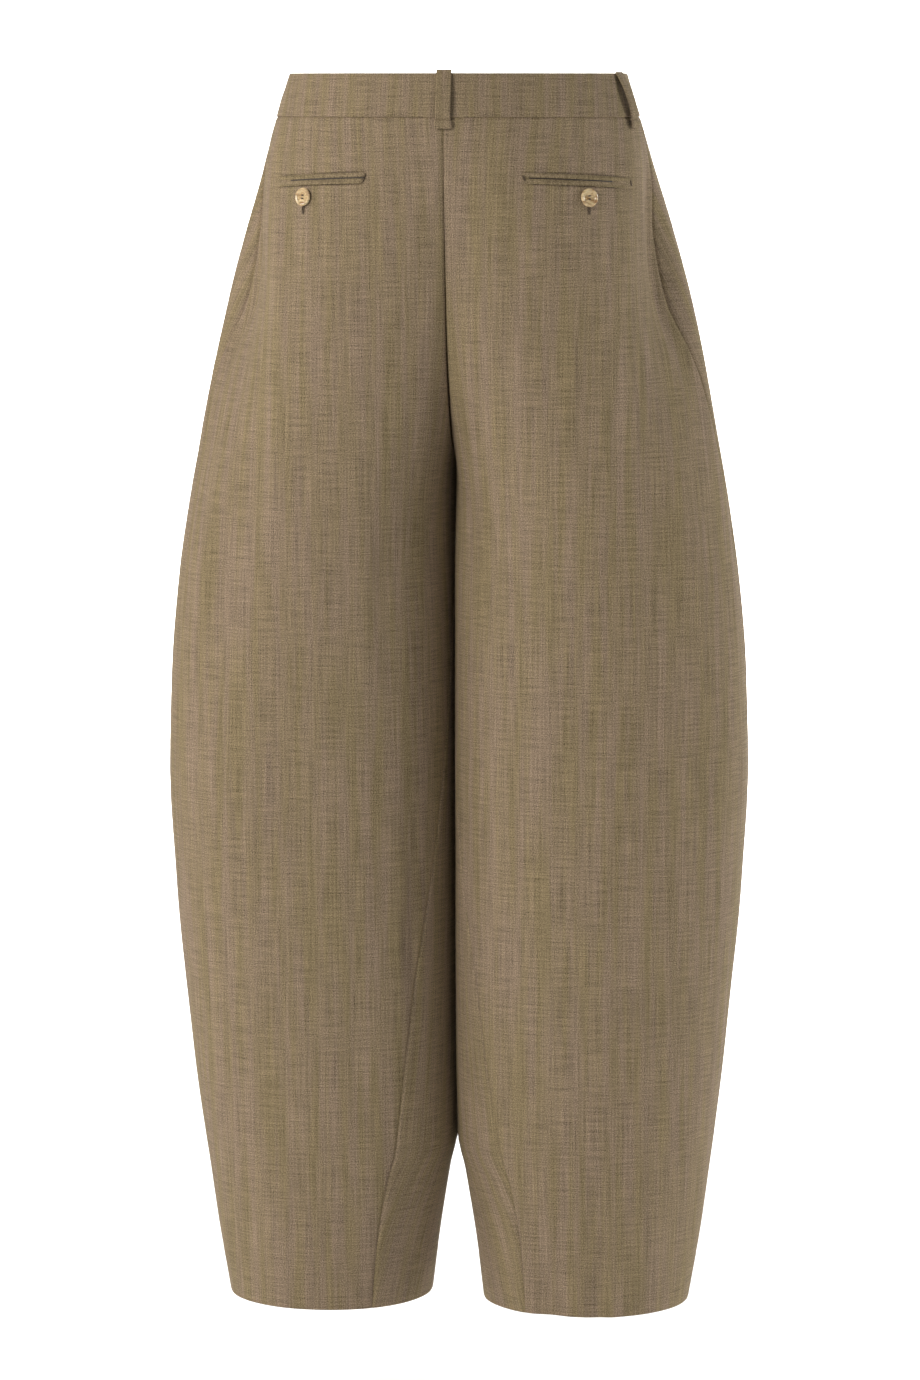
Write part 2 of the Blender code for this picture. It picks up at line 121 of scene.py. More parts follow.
# Folds and creases. side: +1 left, -1 right, 0 both. Turns and width in degrees, z and height in mm.
FOLD_COLUMNS = ("side", "top_turn", "low_turn", "top_z", "low_z", "width", "height")
FOLDS = (
    (0, -9, -12, -25, -270, 5, -9),
    (0, -30, -42, -60, -560, 11, 3),
    (0, -58, -52, -180, -620, 14, -2.5),
    (-1, -112, -100, -840, -1100, 9, -4),
    (0, 62, 66, -420, -1060, 12, -4),
    (0, 96, 104, -300, -900, 12, 3),
)
CREASES = (
    (1, -5, -12, -25, -125, 2.6, -2.2),
    (1, -10, -34, -80, -200, 3.2, -1.6),
    (1, -10, -84, 60, -405, 8.5, 3.4),
    (-1, -9, -22, -40, -170, 3.0, -1.0),
    (-1, -12, -74, 50, -360, 8.5, 2.2),
    (-1, -94, -138, -140, -275, 4.5, 1.5),
    (-1, -86, -130, -165, -300, 5.0, -1.3),
    (1, -98, -126, -185, -280, 5.0, 0.9),
    (1, -92, -120, -205, -300, 5.0, -0.8),
    (1, -110, -118, -270, -520, 4.5, 1.3),
    (1, -119, -127, -300, -500, 4.5, -1.1),
    (1, -131, -130, -560, -790, 4.2, 1.4),
    (1, -139, -137, -580, -800, 4.5, -1.2),
    (1, -147, -144, -690, -880, 3.8, 1.1),
    (1, -104, -106, -690, -960, 6.0, -0.8),
    (-1, -88, -76, -830, -1040, 3.4, -2.0),
    (-1, -79, -68, -850, -1060, 4.2, 1.5),
    (-1, -122, -128, -430, -690, 6.0, 0.9),
    (-1, -66, -62, -560, -800, 7.0, -0.8),
    (1, -46, -42, -620, -930, 7.0, 0.8),
    (1, 66, 108, -150, -290, 5.0, 1.6),
    (1, 58, 100, -175, -320, 5.5, -1.4),
    (-1, 64, 104, -165, -300, 5.0, 1.4),
    (-1, 54, 98, -190, -335, 5.5, -1.2),
    (1, 22, 44, -50, -270, 7.0, 1.1),
    (-1, 24, 40, -60, -250, 7.0, 1.0),
    (1, 118, 130, -480, -780, 5.5, -1.3),
    (1, 128, 139, -520, -800, 5.0, 1.2),
    (-1, 112, 126, -560, -830, 5.5, -1.2),
    (1, 38, 46, -680, -1050, 5.0, -1.3),
    (-1, 50, 43, -740, -1060, 4.5, 1.2),
    (-1, 20, 16, -330, -640, 8.0, -0.9),
)

# Slow unevenness of the hanging cloth: turns round the leg, millimetres down it, phase, share.
WAVES = (
    (2.0, 610.0, 0.4, 0.34),
    (3.0, -430.0, 1.9, 0.27),
    (5.0, 330.0, 3.1, 0.20),
    (7.0, -260.0, 5.2, 0.12),
    (4.0, 118.0, 0.9, 0.09),
    (11.0, -171.0, 2.3, 0.07),
)

# Places of the trims, in millimetres and degrees of turn
LOOP_LOW, LOOP_CLOTH, LOOP_FOLD = -26.5, 1.6, 6.6
LOOP_COLUMNS = ("name", "side", "turn", "top_z", "bulge")
LOOPS = (
    ("centre_back_loop", 1, -90.0, 20.4, 2.8),
    ("side_loop_left", 1, 9.0, 16.9, 2.6),
    ("side_loop_right", -1, -16.0, 18.6, 4.0),
    ("front_loop_left", 1, 56.0, 16.9, 2.4),
    ("front_loop_right", -1, 56.0, 16.9, 2.7),
)
POCKET_INNER_TURN, POCKET_OUTER_TURN = -77.0, -28.5
POCKET_INNER_Z, POCKET_OUTER_Z, POCKET_SAG = -62.0, -66.0, 1.6
UPPER_JET, LOWER_JET, JET_GAP = 3.8, 4.3, 0.9
POCKET_LENGTH, POCKET_CORNER = 92.0, 2.4
BACK_BUTTON_TURN, BACK_BUTTON_Z = -53.5, -81.6
DART_TOP_TURN, DART_LOW_TURN, DART_LOW_Z = -45.0, -53.5, -62.0
FRONT_CREASE_TURN = 58.0
GRAIN_X = 110.0
FLY_WIDTH, FLY_LOW_Z, FLY_CURVE = 36.0, -172.0, 48.0
TAB_LENGTH, TAB_RAMP, FRONT_BUTTON_X = 30.0, 18.0, 17.0
BAND_PROUD, LIFT, SEAM_GAP = 0.5, 0.3, 0.12
BUTTON_THICK, BUTTON_SEAT, HOLE_SPACING = 2.8, 0.4, 2.6
BACK_HOLE = (4.0, 11.6)

# Pocket seam: how far it lies outside the jets, its bell, and its reach and ramp in degrees of turn
DITCH_OUTSIDE, DITCH_BELL, DITCH_REACH, DITCH_RAMP = 0.2, 0.8, 1.6, 1.2
# Outline threads of a pocket, dark as painted shade of its ditch: superellipse power, sinking, pitch,
# share, radius and rise; then the end tacks.
OUTLINE_POWER, OUTLINE_SUNK, OUTLINE_PITCH, OUTLINE_SHARE, OUTLINE_RADIUS = 10, 0.1, 2.1, 0.97, 0.26
OUTLINE_RISE, TACK_SPREAD, TACK_INSET, TACK_RADIUS = 0.03, 0.3, 0.4, 0.2
# Belly and offset of the jets and of the pocket cloth under the mouth, and how far that cloth reaches under
# the jets; its near black tone paints the shade of the slit.
JET_BELLY, JET_SWAY, LINING_BELLY, LINING_SWAY, LINING_UNDER = 1.15, 0.05, 0.1, 0.12, 0.3

# Sewn relief of a panel in millimetres: depths, and the half widths of their bells
SEAM_BELL, WAIST_BELL, PUFF, PUFF_PLACE, PUFF_BELL = 1.2, 1.4, 0.16, 5, 3.5
DART_DEPTH, DART_BELL, DART_FADE, DITCH_DEPTH = 0.55, 1.0, 16, 0.8
SOFT_FADE, HEM_STEP, HEM_LINE, HEM_BELL, HEM_FOLD = 30, 0.12, 0.10, 1.3, 2.0

# Edges of the waistband, the fold of a loop's end and the fly's topstitch line, in millimetres
BAND_TOP_EDGE, BAND_LOW_EDGE, BAND_SUNK, BAND_BELL = 2.2, 0.9, 0.15, 1.4
LEDGE, LEDGE_DITCH, LEDGE_BELL, LEDGE_WIDER = 1.2, 0.6, 0.8, 0.15
FLY_INSET, FLY_THIN, FRONT_HOLE = 5.0, 2.5, (2.5, 9.6)

# Grid offsets in millimetres, close together at a seam and wider away from it
SEAM_STEPS = np.array([0.0, 0.45, 1.0, 1.8, 3.0, 4.8])
SIDE_COLUMNS, INNER_COLUMNS = 26, 40
POCKET_ROWS = np.arange(-56.0, -80.0, -0.55)
ROW_STEP = 4.1

# Soft boxes: name, place, aim and size in metres, power in watts, colour
LIGHTS = (
    ("key_light", (2.1, 2.7, 1.2), (0.0, 0.0, -0.3), 1.5, 80.0, "#fffaf4"),
    ("side_light", (-3.2, -0.5, 0.5), (0.0, 0.0, -0.4), 1.2, 50.0, "#fffdfa"),
    ("hip_light", (1.9, 0.4, 0.75), (0.15, 0.05, -0.08), 0.5, 15.0, "#fffaf6"),
    ("floor_light", (0.0, -3.2, 2.0), (0.0, -4.0, -1.09), 3.0, 330.0, "#ffffff"),
    ("wall_light", (0.0, -3.6, 0.8), (0.0, -7.0, 0.3), 3.0, 260.0, "#ffffff"),
)
TARGET = Vector((-0.0014, 0.0, -0.49))
CAMERA_AZIMUTH, CAMERA_ELEVATION, CAMERA_DISTANCE, CAMERA_LENS = 186.6, 7.3, 3.93, 123.56
FLOOR_Z, FLOOR_SIZE, SWEEP = -1.09, 7.0, 2.5
WORLD_STRENGTH = 0.27


def linear(code):
    """The linear colour of a six digit sRGB code."""
    values = np.array([int(code[i:i + 2], 16) for i in (1, 3, 5)]) / 255
    return tuple(np.where(values <= 0.04045, values / 12.92, ((values + 0.055) / 1.055) ** 2.4))


def length(name, text, default, low, high):
    return bpy.props.FloatProperty(
        name=name, description=text, default=default, min=low, max=high, unit="LENGTH", precision=5)


def colour(name, text, code):
    return bpy.props.FloatVectorProperty(
        name=name, description=text, default=linear(code), size=3, min=0, max=1, subtype="COLOR")


class GarmentSizes(bpy.types.PropertyGroup):
    """Sizes of the cloth and its sewing."""

    cloth: length("Cloth thickness", "Thickness of the wool cloth", 0.0012, 0.0005, 0.002)
    band: length("Band thickness", "Thickness of the faced waistband", 0.0024, 0.001, 0.003)
    seam: length("Seam depth", "How far the cloth rolls in at a pressed seam", 0.0009, 0.0, 0.001)
    hem: length("Hem depth", "Height of the turned up hem", 0.038, 0.01, 0.08)
    wave: length("Unevenness", "Greatest slow unevenness of the hanging cloth", 0.0011, 0.0, 0.003)
    loop: length("Loop width", "Width of a belt loop", 0.0121, 0.006, 0.02)
    thread: length("Thread radius", "Radius of the sewing thread", 0.00026, 0.0001, 0.0006)
    stitch: length("Stitch length", "Length of one topstitch", 0.0024, 0.001, 0.004)
    crease: bpy.props.FloatProperty(
        name="Creases", description="Strength of the creases placed by hand", default=1.0, min=0.0, max=2.0)


class GarmentColours(bpy.types.PropertyGroup):
    """Colours of the cloth, the horn and the stage."""

    wool: colour("Wool", "Middle colour of the melange wool", "#84745c")
    warm: colour("Warm yarn", "Pinkish yarns among the warp", "#8b796a")
    olive: colour("Olive yarn", "Greener yarns among the warp", "#7f7252")
    thread: colour("Thread", "Sewing thread", "#4c3e2e")
    lining_and_shade: colour("Lining", "Pocket lining that shows in the mouth", "#2b2118")
    horn: colour("Horn", "Light body of the horn", "#d4bd92")
    # Real pocket cloth in the mouth, made near black as painted shade of the slit; the threads round each
    # pocket outline also take it as painted shade of the ditch.
    streak: colour("Horn streak", "Brown streaks in the horn", "#8a653a")
    floor: colour("Floor", "Floor and backdrop", "#f4f4f3")


def slopes(table):
    """Row to row slopes that never overshoot: the harmonic mean of the steps on both sides."""
    steps = np.diff(table, axis=0)
    before, after = steps[:-1], steps[1:]
    same_way = before * after > 0
    inner = np.where(same_way, 2 * before * after / np.where(same_way, before + after, 1), 0)
    return np.vstack([steps[:1], inner, steps[-1:]])


TABLE = np.array(SECTIONS, float)
TABLE_SLOPES = slopes(TABLE)


def section(row):
    """Each column of the section table at a row, as a smooth cubic between the table's rows."""
    row = np.clip(np.asarray(row, float), 0, HEM_ROW)
    low = np.minimum(row.astype(int), HEM_ROW - 1)
    f = (row - low)[..., None]
    value = ((1 + 2 * f) * (1 - f) ** 2 * TABLE[low] + f * (1 - f) ** 2 * TABLE_SLOPES[low]
             + f * f * (3 - 2 * f) * TABLE[low + 1] + f * f * (f - 1) * TABLE_SLOPES[low + 1])
    return dict(zip(COLUMNS, np.moveaxis(value, -1, 0)))


def row_at(z):
    """The row whose outside lies at height z."""
    rows = np.linspace(0, HEM_ROW, 1601)
    return np.interp(-np.asarray(z, float), -section(rows)["side_z"], rows)


def smooth_step(value):
    value = np.clip(value, 0, 1)
    return value * value * (3 - 2 * value)


def signed_power(value, power):
    return np.sign(value) * np.abs(value) ** power


def fold_height(table, side, turn, z):
    """Sum over the table of height x sin squared of the share down x a bell across the turn."""
    height = np.zeros(np.broadcast(turn, z).shape)
    for values in table:
        fold = dict(zip(FOLD_COLUMNS, values))
        if fold["side"] not in (0, side):
            continue
        share = np.clip((fold["top_z"] - z) / (fold["top_z"] - fold["low_z"]), 0, 1)
        middle = fold["top_turn"] + (fold["low_turn"] - fold["top_turn"]) * share
        across = np.exp(-(((np.degrees(turn) - middle) / fold["width"]) ** 2))
        height = height + fold["height"] * np.sin(math.pi * share) ** 2 * across
    return height


def leg_lean(x, y, z):
    """Sideways move near the middle plane: lean x share of height x tanh of y x a bell across x."""
    start, full, still_full, end = LEAN_Z
    share = smooth_step((start - z) / (start - full)) * smooth_step((z - end) / (still_full - end))
    return LEAN * share * np.tanh(y / LEAN_Y) * np.exp(-((x / LEAN_X) ** 2))


def surface(side, row, turn):
    """Points of one leg: x and y are two half superellipses of the section at that row.

    Their centre moves from the body's middle plane to the middle of the leg. z falls from the
    side height to the edge height with the fourth power of the turn's share of the wrap.
    """
    row, turn = np.broadcast_arrays(np.asarray(row, float), np.asarray(turn, float))
    turn = np.where(turn > math.pi, turn - 2 * math.pi, turn)
    at = section(row)
    back = turn < 0
    power = 2 / at["square"]
    wrap = np.radians(np.where(back, at["back_wrap"], at["front_wrap"]))
    depth = np.where(back, at["back_depth"], at["front_depth"])
    step = smooth_step((np.degrees(turn) - at["step_start"]) / (at["step_end"] - at["step_start"]))
    width = at["hip_width"] + (at["half_width"] - at["hip_width"]) * step
    reach = -signed_power(np.cos(wrap), power)
    radius = (width - at["leg_gap"]) / (1 + reach)
    across = signed_power(np.cos(turn), power)
    along = signed_power(np.sin(turn), power)
    bend = np.clip(np.abs(turn) / wrap, 0, 1) ** EDGE_BEND
    z = at["side_z"] + (at["edge_z"] - at["side_z"]) * bend
    out = fold_height(FOLDS, side, turn, z) * np.where(at["leg_gap"] > 1, 1, 1 - bend)
    x = side * (width - radius + radius * across + out * np.cos(turn))
    y = -depth * along - out * np.sin(turn)
    return np.stack([x + leg_lean(x, y, z), y, z], axis=-1)


def normals(side, row, turn, level=False):
    """Outward unit normals: the cross product of the steps round and down, level if asked."""
    tiny_row, tiny_turn = 0.01, 0.002
    down = surface(side, row + tiny_row, turn) - surface(side, row - tiny_row, turn)
    round_leg = surface(side, row, turn + tiny_turn) - surface(side, row, turn - tiny_turn)
    normal = side * np.cross(round_leg, down)
    nearest_end = np.minimum(np.abs(row - WAIST_ROW), HEM_ROW - row)
    normal[..., 2] *= 0 if level else np.clip(nearest_end, 0, 1)
    return normal / np.linalg.norm(normal, axis=-1, keepdims=True)


def spread_between(side, rows, start, end, steps_in, count, steps_out):
    """Turns between two lines of turns, at fixed distances near them and evenly between.

    Returns the turns and their distances from the first line along the cloth.
    """
    share = np.linspace(0, 1, 181)[None, :]
    fine = start + (end - start) * share
    points = surface(side, rows, fine)
    steps = np.linalg.norm(np.diff(points, axis=1), axis=-1)
    run = np.concatenate([np.zeros((len(fine), 1)), np.cumsum(steps, axis=1)], axis=1)
    whole = run[:, -1:]
    first, last = steps_in[-1], steps_out[-1]
    middle = first + (whole - first - last) * np.linspace(0, 1, count + 1)[None, 1:-1]
    near = np.broadcast_to(steps_in, (len(fine), len(steps_in)))
    far = whole - steps_out[::-1]
    wanted = np.concatenate([near, middle, far], axis=1)
    turns = np.stack([np.interp(w, r, f) for w, r, f in zip(wanted, run, fine)])
    return turns, wanted


def wave_height(side, turn, z):
    """Sum of share x sine of turns round, millimetres down and a phase of its own for each side."""
    height = np.zeros(np.broadcast(turn, z).shape)
    for turns_round, run, phase, share in WAVES:
        height = height + share * np.sin(turns_round * turn + 2 * math.pi * z / run + phase + side)
    return height


def round_edge(distance, thick):
    """Half thickness of a folded edge: a half circle that reaches half thick within half thick."""
    radius = thick / 2
    return radius * np.sqrt(np.clip(1 - (1 - np.clip(distance / radius, 0, 1)) ** 2, 0, 1))


def quads(points, faces, uv, name, group, material):
    """An object from points in millimetres, faces of four, and one cloth coordinate in metres a point."""
    mesh = bpy.data.meshes.new(name)
    mesh.from_pydata((points * MM).tolist(), [], faces.tolist())
    layer = mesh.uv_layers.new(name="cloth")
    layer.data.foreach_set("uv", (uv * MM)[faces.reshape(-1)].reshape(-1))
    mesh.materials.append(material)
    mesh.shade_smooth()
    mesh.set_sharp_from_angle(angle=math.radians(62))
    piece = bpy.data.objects.new(name, mesh)
    group.objects.link(piece)
    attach(piece, "root")
    return piece


def shell(name, outer, inner, uv, group, material):
    """A closed sheet: the outer grid, the inner grid turned over, and a strip round the border."""
    down, across = outer.shape[:2]
    grid = np.arange(down * across).reshape(down, across)
    below = down * across
    face = np.stack([grid[:-1, :-1], grid[:-1, 1:], grid[1:, 1:], grid[1:, :-1]], axis=-1)
    face = face.reshape(-1, 4)
    border = np.concatenate([grid[0, :], grid[1:, -1], grid[-1, -2::-1], grid[-2:0:-1, 0]])
    following = np.roll(border, -1)
    rim = np.stack([border, border + below, following + below, following], axis=-1)
    faces = np.concatenate([face, face[:, ::-1] + below, rim])
    flat = outer.reshape(-1, 3)
    out = (outer - inner).reshape(-1, 3)[face[:, 0]]
    cross = np.cross(flat[face[:, 2]] - flat[face[:, 0]], flat[face[:, 3]] - flat[face[:, 1]])
    if (cross * out).sum() < 0:
        faces = faces[:, ::-1]
    points = np.concatenate([flat, inner.reshape(-1, 3)])
    both = np.concatenate([uv.reshape(-1, 2)] * 2)
    return quads(points, faces, both, name, group, material)


def stitches(name, start, end, outward, radius, rise, group, material):
    """Short threads: each an arc that rises by a sine between its ends, with a round section.

    The section shrinks towards both ends, and each end is closed by the ring drawn to a point.
    """
    rings, sides = 7, 6
    start, end, outward = (np.asarray(a, float)[:, None, None, :] for a in (start, end, outward))
    share = np.linspace(0, 1, rings)[None, :, None, None]
    angle = np.linspace(0, 2 * math.pi, sides, endpoint=False)[None, None, :, None]
    along = end - start
    along = along / np.linalg.norm(along, axis=-1, keepdims=True)
    across = np.cross(outward, along)
    full = np.sqrt(np.clip(1 - (2 * share - 1) ** 4, 0, 1)) * radius
    full = np.maximum(full, radius * 0.05)
    middle = start + (end - start) * share + outward * rise * np.sin(math.pi * share)
    points = middle + full * (np.cos(angle) * across + np.sin(angle) * outward)
    count = points.shape[0]
    base = np.arange(rings * sides).reshape(rings, sides)
    turned = np.roll(base, -1, axis=1)
    walls = np.stack([base[:-1], turned[:-1], turned[1:], base[1:]], axis=-1).reshape(-1, 4)
    lid = np.array([[0, 3, 2, 1], [0, 5, 4, 3]])
    cap = (rings - 1) * sides + np.array([[0, 1, 2, 3], [0, 3, 4, 5]])
    one = np.concatenate([walls, lid, cap])
    faces = (one[None] + (np.arange(count) * rings * sides)[:, None, None]).reshape(-1, 4)
    flat = points.reshape(-1, 3)
    return quads(flat, faces, flat[:, [0, 2]], name, group, material)


def add_node(tree, kind, inputs=(), **settings):
    """A node with its settings, each input given as (socket, value or output)."""
    node = tree.nodes.new(kind)
    for key, value in settings.items():
        setattr(node, key, value)
    for socket, value in inputs:
        if isinstance(value, bpy.types.NodeSocket):
            tree.links.new(value, node.inputs[socket])
        else:
            node.inputs[socket].default_value = value
    return node


def start_material(name, shader_inputs):
    made = bpy.data.materials.new(name)
    made.use_nodes = True
    shader = made.node_tree.nodes["Principled BSDF"]
    for key, value in shader_inputs.items():
        shader.inputs[key].default_value = value
    return made, made.node_tree, shader


def wool_cloth(name, colours, shade=1.0):
    """Melange worsted wool: long uneven warp slubs, fine weft lines and a pin sized weave.

    The weave's cells are about twice their true size, which is too fine to show.
    """
    made, tree, shader = start_material(name, {
        "Roughness": 0.9, "Specular IOR Level": 0.2, "Sheen Weight": 0.14,
        "Sheen Roughness": 0.4, "Sheen Tint": (*colours.wool, 1)})
    place = add_node(tree, "ShaderNodeUVMap", uv_map="cloth").outputs[0]

    def grain(across, along, detail):
        size = (1 / (across * MM), 1 / (along * MM), 1)
        scaled = add_node(tree, "ShaderNodeVectorMath", [(0, place), (1, size)], operation="MULTIPLY")
        inputs = [("Vector", scaled.outputs[0]), ("Scale", 1.0), ("Detail", detail)]
        return add_node(tree, "ShaderNodeTexNoise", inputs, noise_dimensions="2D").outputs["Fac"]

    def weighted(value, weight, total):
        inputs = [(0, value), (1, weight), (2, total)]
        return add_node(tree, "ShaderNodeMath", inputs, operation="MULTIPLY_ADD").outputs[0]

    warp, weft, weave = grain(1.0, 48.0, 1.0), grain(26.0, 1.0, 1.0), grain(0.9, 0.9, 0.0)
    slub, broad, weft_slub = grain(2.3, 170.0, 1.0), grain(13.0, 420.0, 1.0), grain(70.0, 2.0, 1.0)
    tones = grain(9.0, 150.0, 2.0)
    hue = add_node(tree, "ShaderNodeMapRange", [(0, tones), (1, 0.34), (2, 0.66)]).outputs[0]
    yarn = add_node(tree, "ShaderNodeMix", [
        (0, hue), (6, (*colours.olive, 1)), (7, (*colours.warm, 1))], data_type="RGBA").outputs[2]
    mixed = add_node(tree, "ShaderNodeMix", [
        (0, 0.5), (6, (*colours.wool, 1)), (7, yarn)], data_type="RGBA").outputs[2]
    layers = ((warp, 0.62), (weft, 0.62), (weave, 1.15), (slub, 0.26), (broad, 0.16), (weft_slub, 0.14))
    level = shade * (1 - sum(weight for _, weight in layers) / 2)
    for value, weight in layers:
        level = weighted(value, weight * shade, level)
    toned = add_node(tree, "ShaderNodeVectorMath", [(0, mixed), (1, level)], operation="MULTIPLY")
    tree.links.new(toned.outputs[0], shader.inputs["Base Color"])
    rib = weighted(weave, 0.7, weighted(weft, 0.5, 0.0))
    bump = add_node(tree, "ShaderNodeBump", [("Strength", 0.35), ("Distance", 0.0004), ("Height", rib)])
    tree.links.new(bump.outputs[0], shader.inputs["Normal"])
    return made


def horn(name, colours):
    """Polished horn look resin: a pale body with soft brown streaks across it."""
    made, tree, shader = start_material(name, {
        "Roughness": 0.24, "Specular IOR Level": 0.5, "Coat Weight": 0.2, "Coat Roughness": 0.12,
        "Subsurface Weight": 0.08, "Subsurface Scale": 0.002})
    place = add_node(tree, "ShaderNodeTexCoord").outputs["Object"]
    size = (150.0, 150.0, 420.0)
    scaled = add_node(tree, "ShaderNodeVectorMath", [(0, place), (1, size)], operation="MULTIPLY")
    streaks = add_node(tree, "ShaderNodeTexNoise", [
        ("Vector", scaled.outputs[0]), ("Scale", 1.0), ("Detail", 3.0), ("Distortion", 0.6)]).outputs["Fac"]
    share = add_node(tree, "ShaderNodeMapRange", [(0, streaks), (1, 0.42), (2, 0.68)]).outputs[0]
    mixed = add_node(tree, "ShaderNodeMix", [
        (0, share), (6, (*colours.horn, 1)), (7, (*colours.streak, 1))], data_type="RGBA").outputs[2]
    tree.links.new(mixed, shader.inputs["Base Color"])
    return made


def speckle(tree, shader, tint, scale, share, least):
    """Colours a shader with the tint x (share x noise + least)."""
    place = add_node(tree, "ShaderNodeTexCoord").outputs["Object"]
    noise = add_node(tree, "ShaderNodeTexNoise", [("Vector", place), ("Scale", scale)]).outputs["Fac"]
    level = add_node(tree, "ShaderNodeMath", [(0, noise), (1, share), (2, least)], operation="MULTIPLY_ADD")
    toned = add_node(tree, "ShaderNodeVectorMath", [(0, tint), (1, level.outputs[0])], operation="MULTIPLY")
    tree.links.new(toned.outputs[0], shader.inputs["Base Color"])


def spun_thread(name, tint, roughness=0.75):
    """Polyester sewing thread, a little glossier than the wool."""
    made, tree, shader = start_material(name, {"Roughness": roughness, "Sheen Weight": 0.1})
    speckle(tree, shader, tint, 3000.0, 0.5, 0.75)
    return made


def painted(name, tint):
    """Matt painted board of the studio floor and backdrop."""
    made, tree, shader = start_material(name, {"Roughness": 0.9, "Specular IOR Level": 0.1})
    speckle(tree, shader, tint, 2.0, 0.01, 0.995)
    return made


def get_material(name, make, *values):
    """The material of that name, made once."""
    return bpy.data.materials.get(name) or make(name, *values)


def get_group(name):
    group = bpy.data.collections.get(name)
    if group is None:
        group = bpy.data.collections.new(name)
        bpy.context.scene.collection.children.link(group)
    return group


def panel_rows(hem_depth):
    """Rows of a panel: close at the waist seam, the pocket, the hem line and the fold, even between."""
    ends = np.concatenate([WAIST_Z - SEAM_GAP / 2 - SEAM_STEPS, HEM_Z + SEAM_STEPS])
    hem_line = HEM_Z + hem_depth + np.array([-1.6, -0.6, 0.6, 1.6])
    between = np.arange(WAIST_Z - 9.0, HEM_Z + 8.0, -ROW_STEP)
    clear = (between > POCKET_ROWS[0] + 2) | (between < POCKET_ROWS[-1] - 2)
    clear &= np.abs(between - HEM_Z - hem_depth) > 3.5
    heights = np.sort(np.concatenate([ends, hem_line, between[clear], POCKET_ROWS]))[::-1]
    return row_at(heights)[:, None]


def dart_turn(rows):
    """Turn of the back dart, which leans towards the pocket, and of the line below it."""
    z = section(rows)["side_z"]
    share = np.clip((WAIST_Z - z) / (WAIST_Z - DART_LOW_Z), 0, 1)
    return np.radians(DART_TOP_TURN + (DART_LOW_TURN - DART_TOP_TURN) * share)


def pocket_middle(turn):
    """Height of the top of the pocket at a turn: from the inner to the outer height, sagging."""
    share = (np.degrees(turn) - POCKET_INNER_TURN) / (POCKET_OUTER_TURN - POCKET_INNER_TURN)
    return POCKET_INNER_Z + (POCKET_OUTER_Z - POCKET_INNER_Z) * np.clip(share, 0, 1) ** POCKET_SAG


def pocket_ditch(turn, z):
    """How far the cloth is drawn in along the outline of the pocket, from 0 to 1."""
    top = pocket_middle(turn)
    low = top - UPPER_JET - JET_GAP - LOWER_JET
    inside = smooth_step((np.degrees(turn) - POCKET_INNER_TURN + DITCH_REACH) / DITCH_RAMP)
    inside = inside * smooth_step((POCKET_OUTER_TURN + DITCH_REACH - np.degrees(turn)) / DITCH_RAMP)
    line = np.exp(-((z - top - DITCH_OUTSIDE) / DITCH_BELL) ** 2)
    line = line + np.exp(-((z - low + DITCH_OUTSIDE) / DITCH_BELL) ** 2)
    return inside * np.clip(line, 0, 1)


def pocket_outline(side):
    """Points and outward directions round a pocket: a superellipse of OUTLINE_POWER at its edges."""
    angle = np.linspace(0, 2 * math.pi, 600)
    tall = UPPER_JET + JET_GAP + LOWER_JET
    across = POCKET_LENGTH / 2 * (1 + signed_power(np.cos(angle), 2 / OUTLINE_POWER))
    down = tall / 2 * (1 - signed_power(np.sin(angle), 2 / OUTLINE_POWER))
    turn = np.radians(POCKET_INNER_TURN + (POCKET_OUTER_TURN - POCKET_INNER_TURN) * across / POCKET_LENGTH)
    rows = row_at(pocket_middle(turn) - down)
    outward = normals(side, rows, turn)
    return surface(side, rows, turn) - OUTLINE_SUNK * outward, outward


